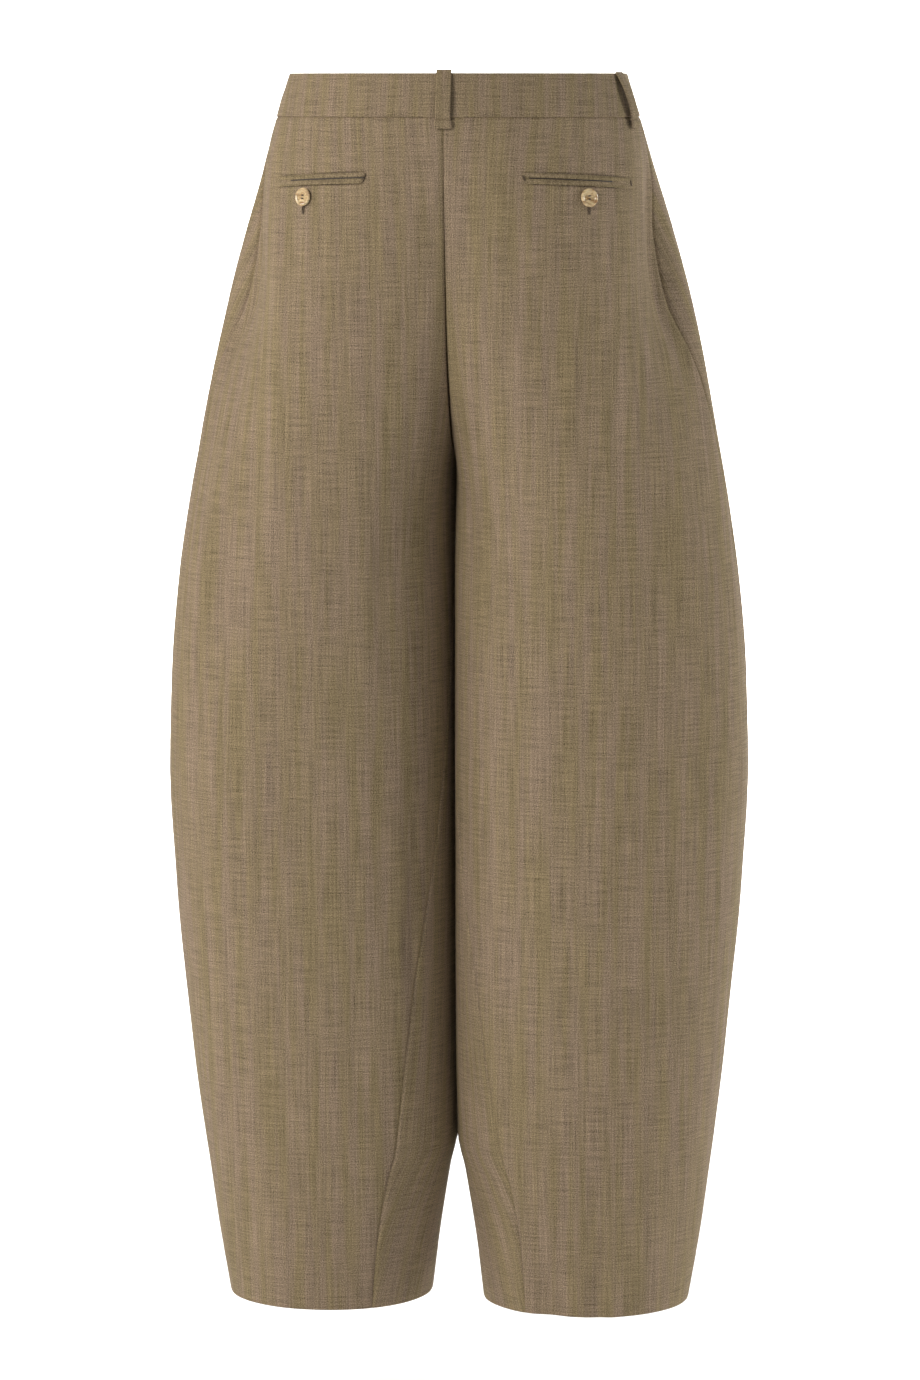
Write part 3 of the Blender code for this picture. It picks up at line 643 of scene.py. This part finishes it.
def build_panel(name, side, front, sizes, group, material):
    """One leg panel: the surface moved along its normals by waves, creases, seams and the hem.

    Its columns run from the side seam to the centre seam or inseam, and gather at the seams and
    at the dart or the front crease line. The inner face follows the outer one at the cloth's
    thickness. The cloth coordinates run across from the grain line, which stays GRAIN_X from the
    middle plane, and down with the height.
    """
    rows = panel_rows(sizes.hem / MM)
    at = section(rows)
    first = np.radians(-at["side_seam"])
    gap = np.array([SEAM_GAP / 2])
    if front:
        line = np.broadcast_to(math.radians(FRONT_CREASE_TURN), rows.shape)
        last = np.radians(at["front_wrap"] + at["inseam_turn"])
    else:
        line = dart_turn(rows)
        last = -np.radians(at["back_wrap"] - at["inseam_turn"])
    edge = SEAM_STEPS + gap
    plain = np.array([0.0, 1.0, 2.2, 4.8]) if front else SEAM_STEPS
    near, near_run = spread_between(side, rows, first, line, edge, SIDE_COLUMNS, plain)
    far, far_run = spread_between(side, rows, line, last, plain, INNER_COLUMNS, edge)
    turns = np.concatenate([near, far[:, 1:]], axis=1)
    from_side = np.concatenate([near_run, near_run[:, -1:] + far_run[:, 1:]], axis=1)
    from_line = from_side - near_run[:, -1:]
    to_inner = from_side[:, -1:] + SEAM_GAP / 2 - from_side
    grid_rows = np.broadcast_to(rows, turns.shape)
    base = surface(side, grid_rows, turns)
    outward = normals(side, grid_rows, turns)
    z = base[..., 2]
    height = section(grid_rows)["side_z"]
    from_waist = WAIST_Z - height
    to_hem = height - HEM_Z
    wrap = np.radians(np.where(turns < 0, at["back_wrap"], at["front_wrap"]))
    bend = np.clip(np.abs(np.where(turns > math.pi, 2 * math.pi - turns, turns)) / wrap, 0, 1) ** EDGE_BEND
    free = np.where(at["leg_gap"] > 1, 1, 1 - bend)
    wrapped = np.where(turns > math.pi, turns - 2 * math.pi, turns)
    soft = sizes.crease * fold_height(CREASES, side, wrapped, z)
    soft = soft + sizes.wave / MM * wave_height(side, wrapped, z)
    soft = soft * free * smooth_step(from_waist / SOFT_FADE)
    seam = np.exp(-((from_side / SEAM_BELL) ** 2)) + np.exp(-((to_inner / SEAM_BELL) ** 2))
    seam = seam + np.exp(-((from_waist / WAIST_BELL) ** 2))
    puffed = np.exp(-(((from_side - PUFF_PLACE) / PUFF_BELL) ** 2))
    puffed = puffed + np.exp(-(((to_inner - PUFF_PLACE) / PUFF_BELL) ** 2))
    sewn = -sizes.seam / MM * np.clip(seam, 0, 1) + PUFF * puffed * free
    if not front:
        dart = np.exp(-((from_line / DART_BELL) ** 2)) * smooth_step((height - DART_LOW_Z) / DART_FADE)
        sewn = sewn - DART_DEPTH * dart - DITCH_DEPTH * pocket_ditch(turns, height)
    thick = sizes.cloth / MM
    hem = sizes.hem / MM
    turned_up = smooth_step((hem + 1.2 - to_hem) / 1.6)
    sewn = sewn + HEM_STEP * turned_up - HEM_LINE * np.exp(-(((to_hem - hem - 0.6) / HEM_BELL) ** 2))
    whole = thick * (1 + 0.9 * turned_up)
    fold = whole / 2 - round_edge(to_hem, HEM_FOLD)
    fold = np.where(to_hem < 1.2, np.clip(fold, 0, None), 0)
    outer = base + outward * (soft + sewn - fold)[..., None]
    inner = base + outward * (soft - whole + fold * 0.9)[..., None]
    grain = np.stack([np.interp(-GRAIN_X, -x, r) for x, r in zip(np.abs(base[..., 0]), from_side)])
    uv = np.stack([from_side - grain[:, None] + 900 * front + 2000 * (side + 1), z], axis=-1)
    return shell(name, outer, inner, uv, group, material)


def turn_at_front(row, x):
    """The turns at which the front of the torso sections at the rows lies x from the middle plane."""
    def one(row_value, x_value):
        turns = np.radians(np.linspace(30, float(section(row_value)["front_wrap"]), 901))
        return np.interp(-x_value, -surface(1, np.full_like(turns, row_value), turns)[:, 0], turns)
    return np.vectorize(one)(row, x)


def build_band(name, side, sizes, group, material):
    """Half of the waistband, swept from the centre back to the centre front, with folded edges.

    Half its thickness at each height is a round edge at the top and at the sewn lower edge. The
    right half goes on past the centre front as a tab, which ramps up over the left half.
    """
    thick = sizes.band / MM
    steps = np.array([0.0, 0.12, 0.35, 0.7, 1.2, 2.0, 3.5, 6.0, 9.0, 12.5, 16.5])
    drop = np.concatenate([steps, BAND_TOP - WAIST_Z - 0.1 - steps[::-1]])
    rows = row_at(BAND_TOP - drop)[:, None]
    at = section(rows)
    start, end = -np.radians(at["back_wrap"]), np.radians(at["front_wrap"])
    edge = np.array([0.05, 0.4, 1.0, 2.0, 3.5])
    turns, run = spread_between(side, rows, start, end, edge, 88, edge)
    grid_rows = np.broadcast_to(rows, turns.shape)
    base, outward = surface(side, grid_rows, turns), normals(side, grid_rows, turns, True)
    if side < 0:
        even, near_end = np.linspace(0, TAB_LENGTH, 26)[1:], TAB_LENGTH - np.array([0.9, 0.45, 0.15])
        past = np.sort(np.append(even, near_end))[None, :]
        tab_turns = turn_at_front(rows, past)
        tab_rows = np.broadcast_to(rows, tab_turns.shape)
        base = np.concatenate([base, surface(1, tab_rows, tab_turns)], axis=1)
        outward = np.concatenate([outward, normals(1, tab_rows, tab_turns, True)], axis=1)
        run = np.concatenate([run, run[:, -1:] + np.broadcast_to(past, tab_turns.shape)], axis=1)
    proud = np.full(run.shape, BAND_PROUD)
    if side < 0:
        ramp = smooth_step((base[..., 0] + TAB_RAMP) / (TAB_RAMP - 2)) * (base[..., 1] < 0)
        proud = proud + ramp * (thick + LIFT)
    ripple = 0.22 * np.sin(run / 31 + side) + 0.12 * np.sin(run / 13.7 + 2 * side + drop[:, None] / 9)
    centre = proud + ripple * np.sin(math.pi * drop[:, None] / (BAND_TOP - WAIST_Z)) - thick / 2
    to_top, to_low = drop[:, None] + 0.02, drop[-1] - drop[:, None] + 0.02
    top_edge = round_edge(to_top, BAND_TOP_EDGE) / (BAND_TOP_EDGE / 2)
    low_edge = round_edge(to_low, BAND_LOW_EDGE) / (BAND_LOW_EDGE / 2)
    half = np.minimum(top_edge, low_edge) * thick / 2
    half = np.broadcast_to(half, run.shape)
    ends = run[:, -1:] - run if side < 0 else np.full(run.shape, 9.0)
    half = np.minimum(half, round_edge(ends + 0.02, thick))
    sunk = BAND_SUNK * np.exp(-(((drop[-1] - drop[:, None]) / BAND_BELL) ** 2))
    outer = base + outward * (centre + half - sunk)[..., None]
    inner = base + outward * (centre - half)[..., None]
    uv = np.stack([run, np.broadcast_to(-drop[:, None], run.shape)], axis=-1)
    return shell(name, outer, inner, uv, group, material)


def build_loop(name, side, turn, top_z, bulge, sizes, group, material):
    """A belt loop: a flat strip with rolled edges whose lift is a sine between its sewn ends.

    Its lower end is folded under, which stands out as a small roll above the seam.
    """
    turn = math.radians(turn)
    tall = top_z - LOOP_LOW
    near = np.array([0.0, 0.2, 0.5, 0.9, 1.5, 2.3])
    drop = np.concatenate([near, np.linspace(3.2, tall - 3.2, 62), tall - near[::-1]])
    z = top_z - drop
    rows = row_at(np.minimum(z, BAND_TOP))[:, None]
    width = sizes.loop / MM
    across = np.array([-1, -0.985, -0.94, -0.86, -0.72, -0.4, 0, 0.4, 0.72, 0.86, 0.94, 0.985, 1])
    across = across[None, :] * width / 2
    tiny = 0.01
    reach = np.linalg.norm(surface(side, rows, turn + tiny) - surface(side, rows, turn - tiny), axis=-1)
    turns = turn + across * 2 * tiny / reach
    grid_rows = np.broadcast_to(rows, turns.shape)
    base, outward = surface(side, grid_rows, turns), normals(side, grid_rows, turns, True)
    if abs(abs(turn) - math.pi / 2) < tiny:
        base[..., 0] = across
        outward[...] = (0, math.copysign(1, -turn), 0)
    base[..., 2] = z[:, None]
    share = drop / tall
    thick = LOOP_CLOTH
    to_fold = drop - (tall - LOOP_FOLD)
    on_band = smooth_step((z - WAIST_Z + 3) / 3) * BAND_PROUD
    ledge = LEDGE * smooth_step(to_fold) - LEDGE_DITCH * np.exp(-(((to_fold + 0.7) / LEDGE_BELL) ** 2))
    lift = on_band + LIFT + bulge * np.sin(math.pi * share) ** 0.8 + thick / 2 + ledge
    wide = 1 + LEDGE_WIDER * smooth_step(to_fold)
    base = base + (base - base[:, 6:7]) * (wide[:, None, None] - 1)
    edge = np.minimum(width / 2 - np.abs(across), 9.0)
    ends = np.minimum(drop, drop[-1] - drop)[:, None]
    half = np.minimum(round_edge(edge + 0.03, thick), round_edge(ends + 0.03, thick))
    crown = 0.18 * np.cos(math.pi * across / width) - 0.12
    outer = base + outward * (lift[:, None] + crown + half)[..., None]
    inner = base + outward * (lift[:, None] + crown - half)[..., None]
    uv = np.stack([np.broadcast_to(across, half.shape), np.broadcast_to(z[:, None], half.shape)], axis=-1)
    return shell(name, outer, inner, uv, group, material)


def build_jet(name, side, top, low, belly, sway, group, material):
    """One strip of a pocket: a low round welt between two heights below the mouth's top.

    Its section is half an ellipse of the given belly on both faces. Its outer edge draws in by a
    quarter ellipse at both ends, so that the two strips make a long rounded rectangle.
    """
    near = np.array([0.0, 0.12, 0.35, 0.7, 1.2, 1.8, 2.6])
    run = np.concatenate([near, np.linspace(3.6, POCKET_LENGTH - 3.6, 58), POCKET_LENGTH - near[::-1]])
    run = run[None, :]
    turn = np.radians(POCKET_INNER_TURN + (POCKET_OUTER_TURN - POCKET_INNER_TURN) * run / POCKET_LENGTH)
    part = np.array([0, 0.02, 0.08, 0.2, 0.38, 0.62, 0.8, 0.92, 0.98, 1.0])[:, None]
    to_end = np.minimum(run, POCKET_LENGTH - run)
    drawn = np.sqrt(np.clip(1 - (1 - np.clip(to_end / POCKET_CORNER, 0, 1)) ** 2, 0, 1))
    drawn = 0.3 + 0.7 * drawn
    upper = top < UPPER_JET / 2
    down = (low - (low - top) * drawn * (1 - part)) if upper else (top + (low - top) * drawn * part)
    heights = pocket_middle(turn) - down
    rows = row_at(heights)
    turns = np.broadcast_to(turn, rows.shape)
    base, outward = surface(side, rows, turns), normals(side, rows, turns)
    round_end = np.sqrt(np.clip(1 - (1 - np.clip(to_end / 1.2, 0, 1)) ** 2, 0, 1))
    half = belly * np.minimum(np.sqrt(np.clip(1 - (2 * part - 1) ** 2, 0, 1)), round_end) + 0.02
    uneven = sway + 0.10 * np.sin(run / 15 + side) + 0.06 * np.sin(run / 6.1 + 2 * side)
    outer = base + outward * (uneven + half)[..., None]
    inner = base + outward * (uneven - half)[..., None]
    uv = np.stack([heights + 0 * run, run + 0 * part], axis=-1)
    return shell(name, outer, inner, uv, group, material)


def pocket_tacks(name, side, group, material):
    """Three short bars across each end of a pocket."""
    tall = UPPER_JET + JET_GAP + LOWER_JET
    starts, ends, outs = [], [], []
    for turn in (POCKET_INNER_TURN + TACK_INSET, POCKET_OUTER_TURN - TACK_INSET):
        top = float(pocket_middle(math.radians(turn)))
        for move in (-TACK_SPREAD, 0.0, TACK_SPREAD):
            place = np.radians(np.array([turn + move, turn + move]))
            points, out = on_surface(side, np.array([top - 1.6, top - tall + 1.8]), place, 1.05)
            starts.append(points[0])
            ends.append(points[1])
            outs.append(out[0])
    return stitches(name, starts, ends, outs, TACK_RADIUS, 0.1, group, material)


def fly_edge(z):
    """Width of the fly at heights z: straight, then a quarter ellipse down to its end."""
    past = np.clip((FLY_LOW_Z + FLY_CURVE - z) / FLY_CURVE, 0, 1)
    return np.maximum(FLY_WIDTH * np.sqrt(1 - past**2), 1.5)


def build_fly(name, side, sizes, group, material):
    """The lap over the fastening: a strip beside the centre front whose width is the fly's edge."""
    z = np.concatenate([np.linspace(WAIST_Z - 0.3, -120, 30), np.linspace(-122, FLY_LOW_Z, 34)])
    rows = row_at(z)[:, None]
    share = np.array([0, 0.004, 0.015, 0.04, 0.1, 0.2, 0.35, 0.5, 0.65, 0.8, 0.92, 1.0])[None, ::-1]
    run = SEAM_GAP / 2 + fly_edge(z)[:, None] * share
    turns = turn_at_front(rows, run)
    grid_rows = np.broadcast_to(rows, turns.shape)
    base, outward = surface(side, grid_rows, turns), normals(side, grid_rows, turns)
    edge = fly_edge(z)[:, None] - run
    thick = sizes.cloth / MM
    half = thick / 2 * smooth_step(edge / FLY_THIN) + 0.05
    centre = 0.1 + half + 0.12 * np.sin(z / 21)[:, None]
    outer = base + outward * (centre + half)[..., None]
    inner = base + outward * (centre - half)[..., None]
    uv = np.stack([run, np.broadcast_to(z[:, None], run.shape)], axis=-1)
    return shell(name, outer, inner, uv, group, material)


def on_surface(side, z, turn, lift):
    """Points lifted off the surface at heights and turns, with their outward directions."""
    rows = row_at(z)
    outward = normals(side, rows, turn)
    return surface(side, rows, turn) + outward * np.reshape(lift, (-1, 1)), outward


def runs(points, outward, pitch, share):
    """Starts, ends and directions of stitches of one pitch along a path of points."""
    steps = np.linalg.norm(np.diff(points, axis=0), axis=-1)
    run = np.concatenate([[0], np.cumsum(steps)])
    starts = np.arange(0, run[-1] - pitch, pitch)

    def at(places, values):
        return np.stack([np.interp(places, run, values[:, k]) for k in range(3)], axis=-1)

    return at(starts, points), at(starts + pitch * share, points), at(starts, outward)


def axes_at(outward):
    """Sideways, upward and outward unit vectors at a place whose outward direction is given."""
    out = np.asarray(outward, float) / np.linalg.norm(outward)
    aside = np.cross((0, 0, 1), out)
    aside = aside / np.linalg.norm(aside)
    return aside, np.cross(out, aside), out


def button_thread(name, point, outward, sizes, group, material):
    """Thread of a button: two pairs of short bars that pass between its four holes."""
    aside, up, out = axes_at(outward)
    half = HOLE_SPACING / 2
    seat = point + out * BUTTON_THICK * 0.62
    shift = np.array([-0.34, 0.0, 0.34])
    starts, ends = [], []
    for level in (-half, half):
        for move in shift:
            starts.append(seat - aside * half + up * (level + move))
            ends.append(seat + aside * half + up * (level + move * 0.6))
    outs = np.tile(out, (len(starts), 1))
    return stitches(name, starts, ends, outs, 1.25 * sizes.thread / MM, 0.55, group, material)


def buttonhole(name, point, outward, along, start, end, sizes, group, material):
    """A worked buttonhole: close purl stitches on both sides of a slit, and a bar at its end."""
    aside, up, out = axes_at(outward)
    way, over = (-up, aside) if along == "down" else (aside, up)
    places = np.arange(start, end, 0.62)
    starts, ends = [], []
    for place in places:
        for hand in (-1, 1):
            starts.append(point + way * place + over * hand * 0.22)
            ends.append(point + way * (place + 0.1) + over * hand * 1.35)
    for move in np.arange(0, 1.9, 0.5):
        starts.append(point + way * (end + move) - over * 1.15)
        ends.append(point + way * (end + move) + over * 1.15)
    outs = np.tile(out, (len(starts), 1))
    return stitches(name, starts, ends, outs, 1.2 * sizes.thread / MM, 0.3, group, material)


def cloth_materials(colours):
    return {
        "wool_panels": get_material("melange_wool_panels", wool_cloth, colours),
        "wool_band": get_material("melange_wool_band", wool_cloth, colours, 0.97),
        "wool_trims": get_material("melange_wool_trims", wool_cloth, colours, 0.93),
    }


def dress(piece, node, slot):
    """Hides the solid that a sheet stands in for and gives the sheet its material slot."""
    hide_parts(node)
    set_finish(piece, slot)


def slot_trims(group):
    """The trims' material slot for every piece of a group that has none yet."""
    for piece in group.objects:
        if "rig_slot" not in piece:
            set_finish(piece, "wool_trims")


def expect(group, count, what):
    """Stops the build where a group holds fewer objects than it must."""
    if len(group.objects) < count:
        raise RuntimeError(f"{what} is missing")


class GARMENT_OT_panels(bpy.types.Operator):
    """Build the four leg panels with their creases, seams, darts and hems"""

    bl_idname = "garment.panels"
    bl_label = "Build leg panels"

    def execute(self, context):
        sizes, colours = context.scene.garment_sizes, context.scene.garment_colours
        group, wool = get_group("panels"), cloth_materials(colours)["wool_panels"]
        for word, side in (("left", 1), ("right", -1)):
            for half in ("back", "front"):
                node = f"{half}_{word}"
                piece = build_panel(f"{node}_cloth", side, half == "front", sizes, group, wool)
                dress(piece, node, "wool_panels")
        expect(group, 4, "a leg panel")
        return {"FINISHED"}


class GARMENT_OT_waistband(bpy.types.Operator):
    """Build both halves of the waistband with the front tab"""

    bl_idname = "garment.waistband"
    bl_label = "Build waistband"

    def execute(self, context):
        sizes, colours = context.scene.garment_sizes, context.scene.garment_colours
        group, wool = get_group("waistband"), cloth_materials(colours)["wool_band"]
        for word, side in (("left", 1), ("right", -1)):
            node = f"waistband_{word}"
            piece = build_band(f"{node}_cloth", side, sizes, group, wool)
            dress(piece, node, "wool_band")
        expect(group, 2, "half of the waistband")
        return {"FINISHED"}


class GARMENT_OT_loops(bpy.types.Operator):
    """Build the five belt loops, each with its lower end folded under"""

    bl_idname = "garment.loops"
    bl_label = "Build belt loops"

    def execute(self, context):
        sizes, colours = context.scene.garment_sizes, context.scene.garment_colours
        group, wool = get_group("loops"), cloth_materials(colours)["wool_trims"]
        for values in LOOPS:
            loop = dict(zip(LOOP_COLUMNS, values))
            node = loop.pop("name")
            piece = build_loop(f"{node}_cloth", **loop, sizes=sizes, group=group, material=wool)
            dress(piece, node, "wool_trims")
        expect(group, len(LOOPS), "a belt loop")
        return {"FINISHED"}


class GARMENT_OT_pockets(bpy.types.Operator):
    """Build the jets of the two back pockets and the tacks at their ends"""

    bl_idname = "garment.pockets"
    bl_label = "Build back pockets"

    def execute(self, context):
        sizes, colours = context.scene.garment_sizes, context.scene.garment_colours
        group, wool = get_group("pockets"), cloth_materials(colours)["wool_trims"]
        thread = get_material("sewing_thread", spun_thread, colours.thread)
        # Near black pocket cloth: painted shade for the slit of the mouth and for the outline threads.
        lining_and_shade = get_material("pocket_lining_twill", spun_thread, colours.lining_and_shade, 0.6)
        lower = UPPER_JET + JET_GAP
        strips = (("upper", 0.0, UPPER_JET), ("lower", lower, lower + LOWER_JET))
        for word, side in (("left", 1), ("right", -1)):
            for kind, top, low in strips:
                node = f"pocket_{kind}_jet_{word}"
                piece = build_jet(f"{node}_cloth", side, top, low, JET_BELLY, JET_SWAY, group, wool)
                dress(piece, node, "wool_trims")
            # The pocket cloth seen through the mouth between the jets; its near black tone paints the shade
            # in the slit.
            build_jet(f"pocket_lining_{word}", side, UPPER_JET - LINING_UNDER, lower + LINING_UNDER,
                      LINING_BELLY, LINING_SWAY, group, lining_and_shade)
            # Dark threads all round the outline, in the near black pocket cloth colour: painted shade of
            # the sewn ditch round the jets.
            outline, out = pocket_outline(side)
            starts, ends, outs = runs(outline, out, OUTLINE_PITCH, OUTLINE_SHARE)
            stitches(f"pocket_seam_and_shade_{word}", starts, ends, outs, OUTLINE_RADIUS, OUTLINE_RISE, group, lining_and_shade)
            pocket_tacks(f"pocket_tacks_{word}", side, group, thread)
        slot_trims(group)
        expect(group, 10, "a strip or seam of a pocket")
        return {"FINISHED"}


class GARMENT_OT_fly(bpy.types.Operator):
    """Build the fly lap and its curved topstitching"""

    bl_idname = "garment.fly"
    bl_label = "Build fly"

    def execute(self, context):
        sizes, colours = context.scene.garment_sizes, context.scene.garment_colours
        group, wool = get_group("fly"), cloth_materials(colours)["wool_panels"]
        thread = get_material("sewing_thread", spun_thread, colours.thread)
        piece = build_fly("fly_lap_cloth", -1, sizes, group, wool)
        dress(piece, "fly_lap", "wool_panels")
        z = np.linspace(WAIST_Z - 1.5, FLY_LOW_Z + FLY_INSET, 160)
        past = np.clip((FLY_LOW_Z + FLY_CURVE - z) / (FLY_CURVE - FLY_INSET), 0, 1)
        run = np.maximum((FLY_WIDTH - FLY_INSET) * np.sqrt(1 - past**2), 2.0)
        turns = turn_at_front(row_at(z), run)
        points, outward = on_surface(-1, z, turns, sizes.cloth / MM + 0.25)
        starts, ends, outs = runs(points, outward, sizes.stitch / MM, 0.86)
        stitches("fly_topstitch", starts, ends, outs, sizes.thread / MM, 0.12, group, thread)
        slot_trims(group)
        expect(group, 2, "the fly or its topstitching")
        return {"FINISHED"}


class GARMENT_OT_buttons(bpy.types.Operator):
    """Finish the horn buttons and sew their threads and buttonholes"""

    bl_idname = "garment.buttons"
    bl_label = "Build buttons"

    def execute(self, context):
        sizes, colours = context.scene.garment_sizes, context.scene.garment_colours
        group = get_group("buttons")
        thread = get_material("button_thread", spun_thread, colours.thread, 0.65)
        purl = get_material("buttonhole_thread", spun_thread, tuple(1.25 * c for c in colours.thread))
        polished = get_material("polished_horn", horn, colours)
        places = {}
        for word, side in (("left", 1), ("right", -1)):
            point, out = on_surface(
                side, np.array([BACK_BUTTON_Z]), np.radians([BACK_BUTTON_TURN]), BUTTON_SEAT)
            places[f"back_button_{word}"] = (point[0], out[0], "down", BACK_HOLE)
        row = (BAND_TOP_ROW + WAIST_ROW) / 2
        turn = turn_at_front(np.array([row]), np.array([FRONT_BUTTON_X]))
        out = normals(1, np.array([row]), turn, True)[0]
        seat = BAND_PROUD + sizes.band / MM + LIFT
        point = surface(1, np.array([row]), turn)[0] + out * (seat + BUTTON_SEAT)
        places["front_button"] = (point, out, "aside", FRONT_HOLE)
        for node, (point, out, along, (start, end)) in places.items():
            slots = frame["nodes"][node].data.materials
            for index in range(len(slots)):
                slots[index] = polished
            button_thread(f"{node}_thread", point, out, sizes, group, thread)
            low = point - out * (BUTTON_SEAT - 0.2)
            if along == "aside":
                out = np.array([-out[0] * 0.6, out[1], out[2]])
            buttonhole(f"{node}_hole_purl", low, out, along, start, end, sizes, group, purl)
        slot_trims(group)
        expect(group, 6, "a button's thread or buttonhole")
        return {"FINISHED"}


class GARMENT_OT_stage(bpy.types.Operator):
    """Set up the pale floor, the soft lights and the camera behind the garment"""

    bl_idname = "garment.stage"
    bl_label = "Build stage"

    def execute(self, context):
        scene, colours = context.scene, context.scene.garment_colours
        build_floor(colours)
        for values in LIGHTS:
            build_light(scene, *values)
        build_world(scene)
        build_camera(scene)
        if scene.camera is None:
            raise RuntimeError("the camera is missing")
        return {"FINISHED"}


def build_floor(colours):
    """A studio sweep: flat, then a quarter circle up to a flat wall on the far side."""
    reach = np.linspace(0, 1, 40)
    angle = np.linspace(0, math.pi / 2, 24)
    far = -FLOOR_SIZE + SWEEP
    flat = np.stack([FLOOR_SIZE + (far - FLOOR_SIZE) * reach, np.zeros(40)], axis=-1)
    curve = np.stack([far - SWEEP * np.sin(angle), SWEEP - SWEEP * np.cos(angle)], axis=-1)
    wall = np.stack([np.full(20, far - SWEEP), SWEEP + 4 * np.linspace(0, 1, 20)], axis=-1)
    path = np.concatenate([flat, curve[1:], wall[1:]])
    aside = np.linspace(-FLOOR_SIZE, FLOOR_SIZE, 12)
    x = np.broadcast_to(aside[None, :], (len(path), 12))
    y = np.broadcast_to(path[:, :1], x.shape)
    z = np.broadcast_to(path[:, 1:] + FLOOR_Z, x.shape)
    points = np.stack([x, y, z], axis=-1).reshape(-1, 3)
    grid = np.arange(len(points)).reshape(x.shape)
    faces = np.stack([grid[:-1, :-1], grid[1:, :-1], grid[1:, 1:], grid[:-1, 1:]], axis=-1)
    mesh = bpy.data.meshes.new("studio_sweep")
    mesh.from_pydata(points.tolist(), [], faces.reshape(-1, 4).tolist())
    mesh.materials.append(get_material("studio_board", painted, colours.floor))
    mesh.shade_smooth()
    floor = bpy.data.objects.new("studio_sweep", mesh)
    bpy.context.scene.collection.objects.link(floor)


def build_light(scene, name, place, aim, size, power, tint):
    light = bpy.data.lights.new(name, "AREA")
    light.shape = "DISK"
    light.size = size
    light.energy = power
    light.color = linear(tint)
    lamp = bpy.data.objects.new(name, light)
    lamp.location = place
    lamp.rotation_euler = (Vector(aim) - Vector(place)).to_track_quat("-Z", "Y").to_euler()
    scene.collection.objects.link(lamp)


def build_world(scene):
    world = bpy.data.worlds.new("studio_world")
    world.use_nodes = True
    sky = world.node_tree.nodes["Background"]
    sky.inputs["Color"].default_value = (1.0, 1.0, 1.0, 1)
    sky.inputs["Strength"].default_value = WORLD_STRENGTH
    scene.world = world
    scene.view_settings.view_transform = "Standard"


def build_camera(scene):
    azimuth, elevation = math.radians(CAMERA_AZIMUTH), math.radians(CAMERA_ELEVATION)
    back = Vector((math.sin(azimuth) * math.cos(elevation),
                   -math.cos(azimuth) * math.cos(elevation), math.sin(elevation)))
    camera = bpy.data.cameras.new("camera")
    camera.sensor_fit = "VERTICAL"
    camera.sensor_height = 36
    camera.lens = CAMERA_LENS
    camera.clip_end = 60
    eye = bpy.data.objects.new("camera", camera)
    eye.location = TARGET + back * CAMERA_DISTANCE
    eye.rotation_euler = (-back).to_track_quat("-Z", "Y").to_euler()
    scene.collection.objects.link(eye)
    scene.camera = eye


class GARMENT_PT_panel(bpy.types.Panel):
    """Sizes, colours and build steps of the garment"""

    bl_idname = "GARMENT_PT_panel"
    bl_label = "Barrel leg trousers"
    bl_space_type = "VIEW_3D"
    bl_region_type = "UI"
    bl_category = "Garment"

    def draw(self, context):
        column = self.layout.column()
        for group in (context.scene.garment_sizes, context.scene.garment_colours):
            for key in group.__annotations__:
                column.prop(group, key)
        for operator in OPERATORS:
            column.operator(operator.bl_idname)


OPERATORS = (
    GARMENT_OT_panels,
    GARMENT_OT_waistband,
    GARMENT_OT_loops,
    GARMENT_OT_pockets,
    GARMENT_OT_fly,
    GARMENT_OT_buttons,
    GARMENT_OT_stage,
)
CLASSES = (GarmentSizes, GarmentColours, *OPERATORS, GARMENT_PT_panel)


def register():
    for made in CLASSES:
        bpy.utils.register_class(made)
    bpy.types.Scene.garment_sizes = bpy.props.PointerProperty(type=GarmentSizes)
    bpy.types.Scene.garment_colours = bpy.props.PointerProperty(type=GarmentColours)


def unregister():
    del bpy.types.Scene.garment_colours
    del bpy.types.Scene.garment_sizes
    for made in reversed(CLASSES):
        bpy.utils.unregister_class(made)


def main():
    register()
    bpy.ops.garment.panels()
    bpy.ops.garment.waistband()
    bpy.ops.garment.loops()
    bpy.ops.garment.pockets()
    bpy.ops.garment.fly()
    bpy.ops.garment.buttons()
    bpy.ops.garment.stage()


if __name__ == "__main__":
    main()
